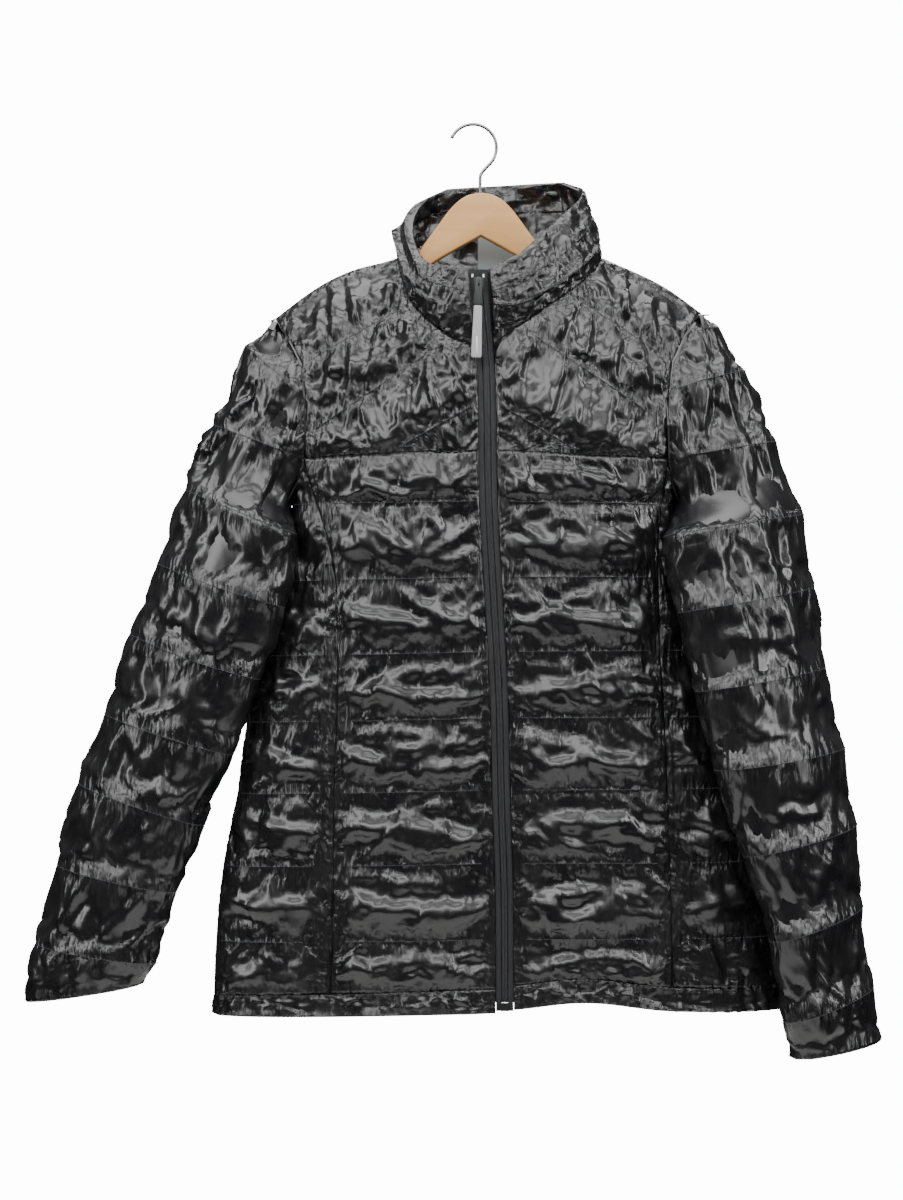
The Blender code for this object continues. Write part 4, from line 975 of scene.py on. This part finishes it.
# %% Smooth curve through a few points
def through(points, steps=8):
    """A Catmull-Rom curve through points in the XZ plane."""
    out = []
    for n in range(len(points) - 1):
        a, b = points[max(n - 1, 0)], points[n]
        c, d = points[n + 1], points[min(n + 2, len(points) - 1)]
        for s in range(steps):
            u = s / steps
            out.append(tuple(
                0.5 * (2 * b[i] + (c[i] - a[i]) * u + (2 * a[i] - 5 * b[i] + 4 * c[i] - d[i]) * u ** 2
                       + (3 * b[i] - a[i] - 3 * c[i] + d[i]) * u ** 3) for i in (0, 1)))
    return out + [points[-1]]


# %% Hanger
low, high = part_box("hanger_body")
HANGER_X = (low.x + high.x) / 2 / MM
ARM_TOP = [(0, -65), (14, -68), (29, -80), (50, -108), (76, -140), (122, -157), (160, -174), (184, -192)]
ARM_FOOT = [(181, -204), (156, -194), (118, -176), (76, -155), (44, -131), (0, -106)]
arm = through(ARM_TOP) + through(ARM_FOOT)
outline = [(x, z) for x, z in arm] + [(-x, z) for x, z in arm[::-1] if abs(x) > 0.01]
board = bpy.data.meshes.new("sawn_hanger")
half = (high.y - low.y) / 2 / MM
board.from_pydata([((x + HANGER_X) * MM, -half * MM, z * MM) for x, z in outline], [],
                  [range(len(outline))])
hanger = bpy.data.objects.new("sawn_hanger", board)
bpy.context.scene.collection.objects.link(hanger)
only(hanger)
bpy.ops.object.mode_set(mode="EDIT")
bpy.ops.mesh.select_all(action="SELECT")
bpy.ops.mesh.extrude_region_move(TRANSFORM_OT_translate={"value": (0, 2 * half * MM, 0)})
bpy.ops.mesh.select_all(action="SELECT")
bpy.ops.mesh.normals_make_consistent(inside=False)
bpy.ops.object.mode_set(mode="OBJECT")
rounding = hanger.modifiers.new("routed_edges", "BEVEL")
rounding.width, rounding.segments = 0.0022, 4
rounding.limit_method, rounding.angle_limit = "ANGLE", math.radians(60)
apply_all(hanger)
hanger.data.materials.append(wood)
bpy.ops.object.shade_smooth_by_angle(angle=math.radians(30))
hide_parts("hanger_body")
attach(hanger, "jacket")
print("hanger", [round(v * 1000, 1) for v in hanger.dimensions])

# %% Hook
WIRE, HOOK_RADIUS, TIP_ANGLE = 1.65, 22.5, 152
turns = [(HOOK_RADIUS * math.cos(math.radians(TIP_ANGLE - a)),
          WIRE - HOOK_RADIUS + HOOK_RADIUS * math.sin(math.radians(TIP_ANGLE - a)))
         for a in range(0, 201, 5)]
path = turns + through([turns[-1], (10.5, -42.5), (7.6, -46.5), (6.8, -51), (6.8, -66)])[1:]
wire_data = bpy.data.curves.new("drawn_hook", "CURVE")
wire_data.dimensions = "3D"
wire_data.bevel_depth = WIRE * MM
wire_data.bevel_resolution = 4
wire_data.use_fill_caps = True
spline = wire_data.splines.new("POLY")
spline.points.add(len(path) - 1)
for point, (x, z) in zip(spline.points, path):
    point.co = (x * MM, 0, z * MM, 1)
hook = bpy.data.objects.new("drawn_hook", wire_data)
bpy.context.scene.collection.objects.link(hook)
only(hook)
bpy.ops.object.convert(target="MESH")
hook = bpy.context.object
bpy.ops.object.select_all(action="DESELECT")
bpy.ops.mesh.primitive_uv_sphere_add(segments=16, ring_count=10, radius=2.0 * MM,
                                     location=(path[0][0] * MM, 0, path[0][1] * MM))
tip = bpy.context.object
hook.select_set(True)
bpy.context.view_layer.objects.active = hook
bpy.ops.object.join()
hook.data.materials.clear()
hook.data.materials.append(chrome)
only(hook)
bpy.ops.object.shade_smooth_by_angle(angle=math.radians(50))
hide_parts("hanger_hook")
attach(hook, "jacket")

# %% [markdown]
# ## Floor
# A plain pale disc under the jacket, well below the view, so that the cloth has something soft
# and light to mirror from below.

# %% Floor
bpy.ops.object.select_all(action="DESELECT")
bpy.ops.mesh.primitive_circle_add(vertices=96, radius=1.1, fill_type="NGON", location=(0, 0, -1.45))
floor = bpy.context.object
floor.name = "floor"
pale, tree, shader, place = finish("painted_floor", "#e9e8e6", 0.7)
mottle = add_node(tree, "ShaderNodeTexNoise", {"Vector": place}, Scale=6.0, Detail=4.0)
soft_relief = add_node(tree, "ShaderNodeBump", {"Height": mottle.outputs["Fac"]}, Strength=0.05,
                       Distance=0.001)
link(tree, soft_relief.outputs[0], shader, "Normal")
floor.data.materials.append(pale)
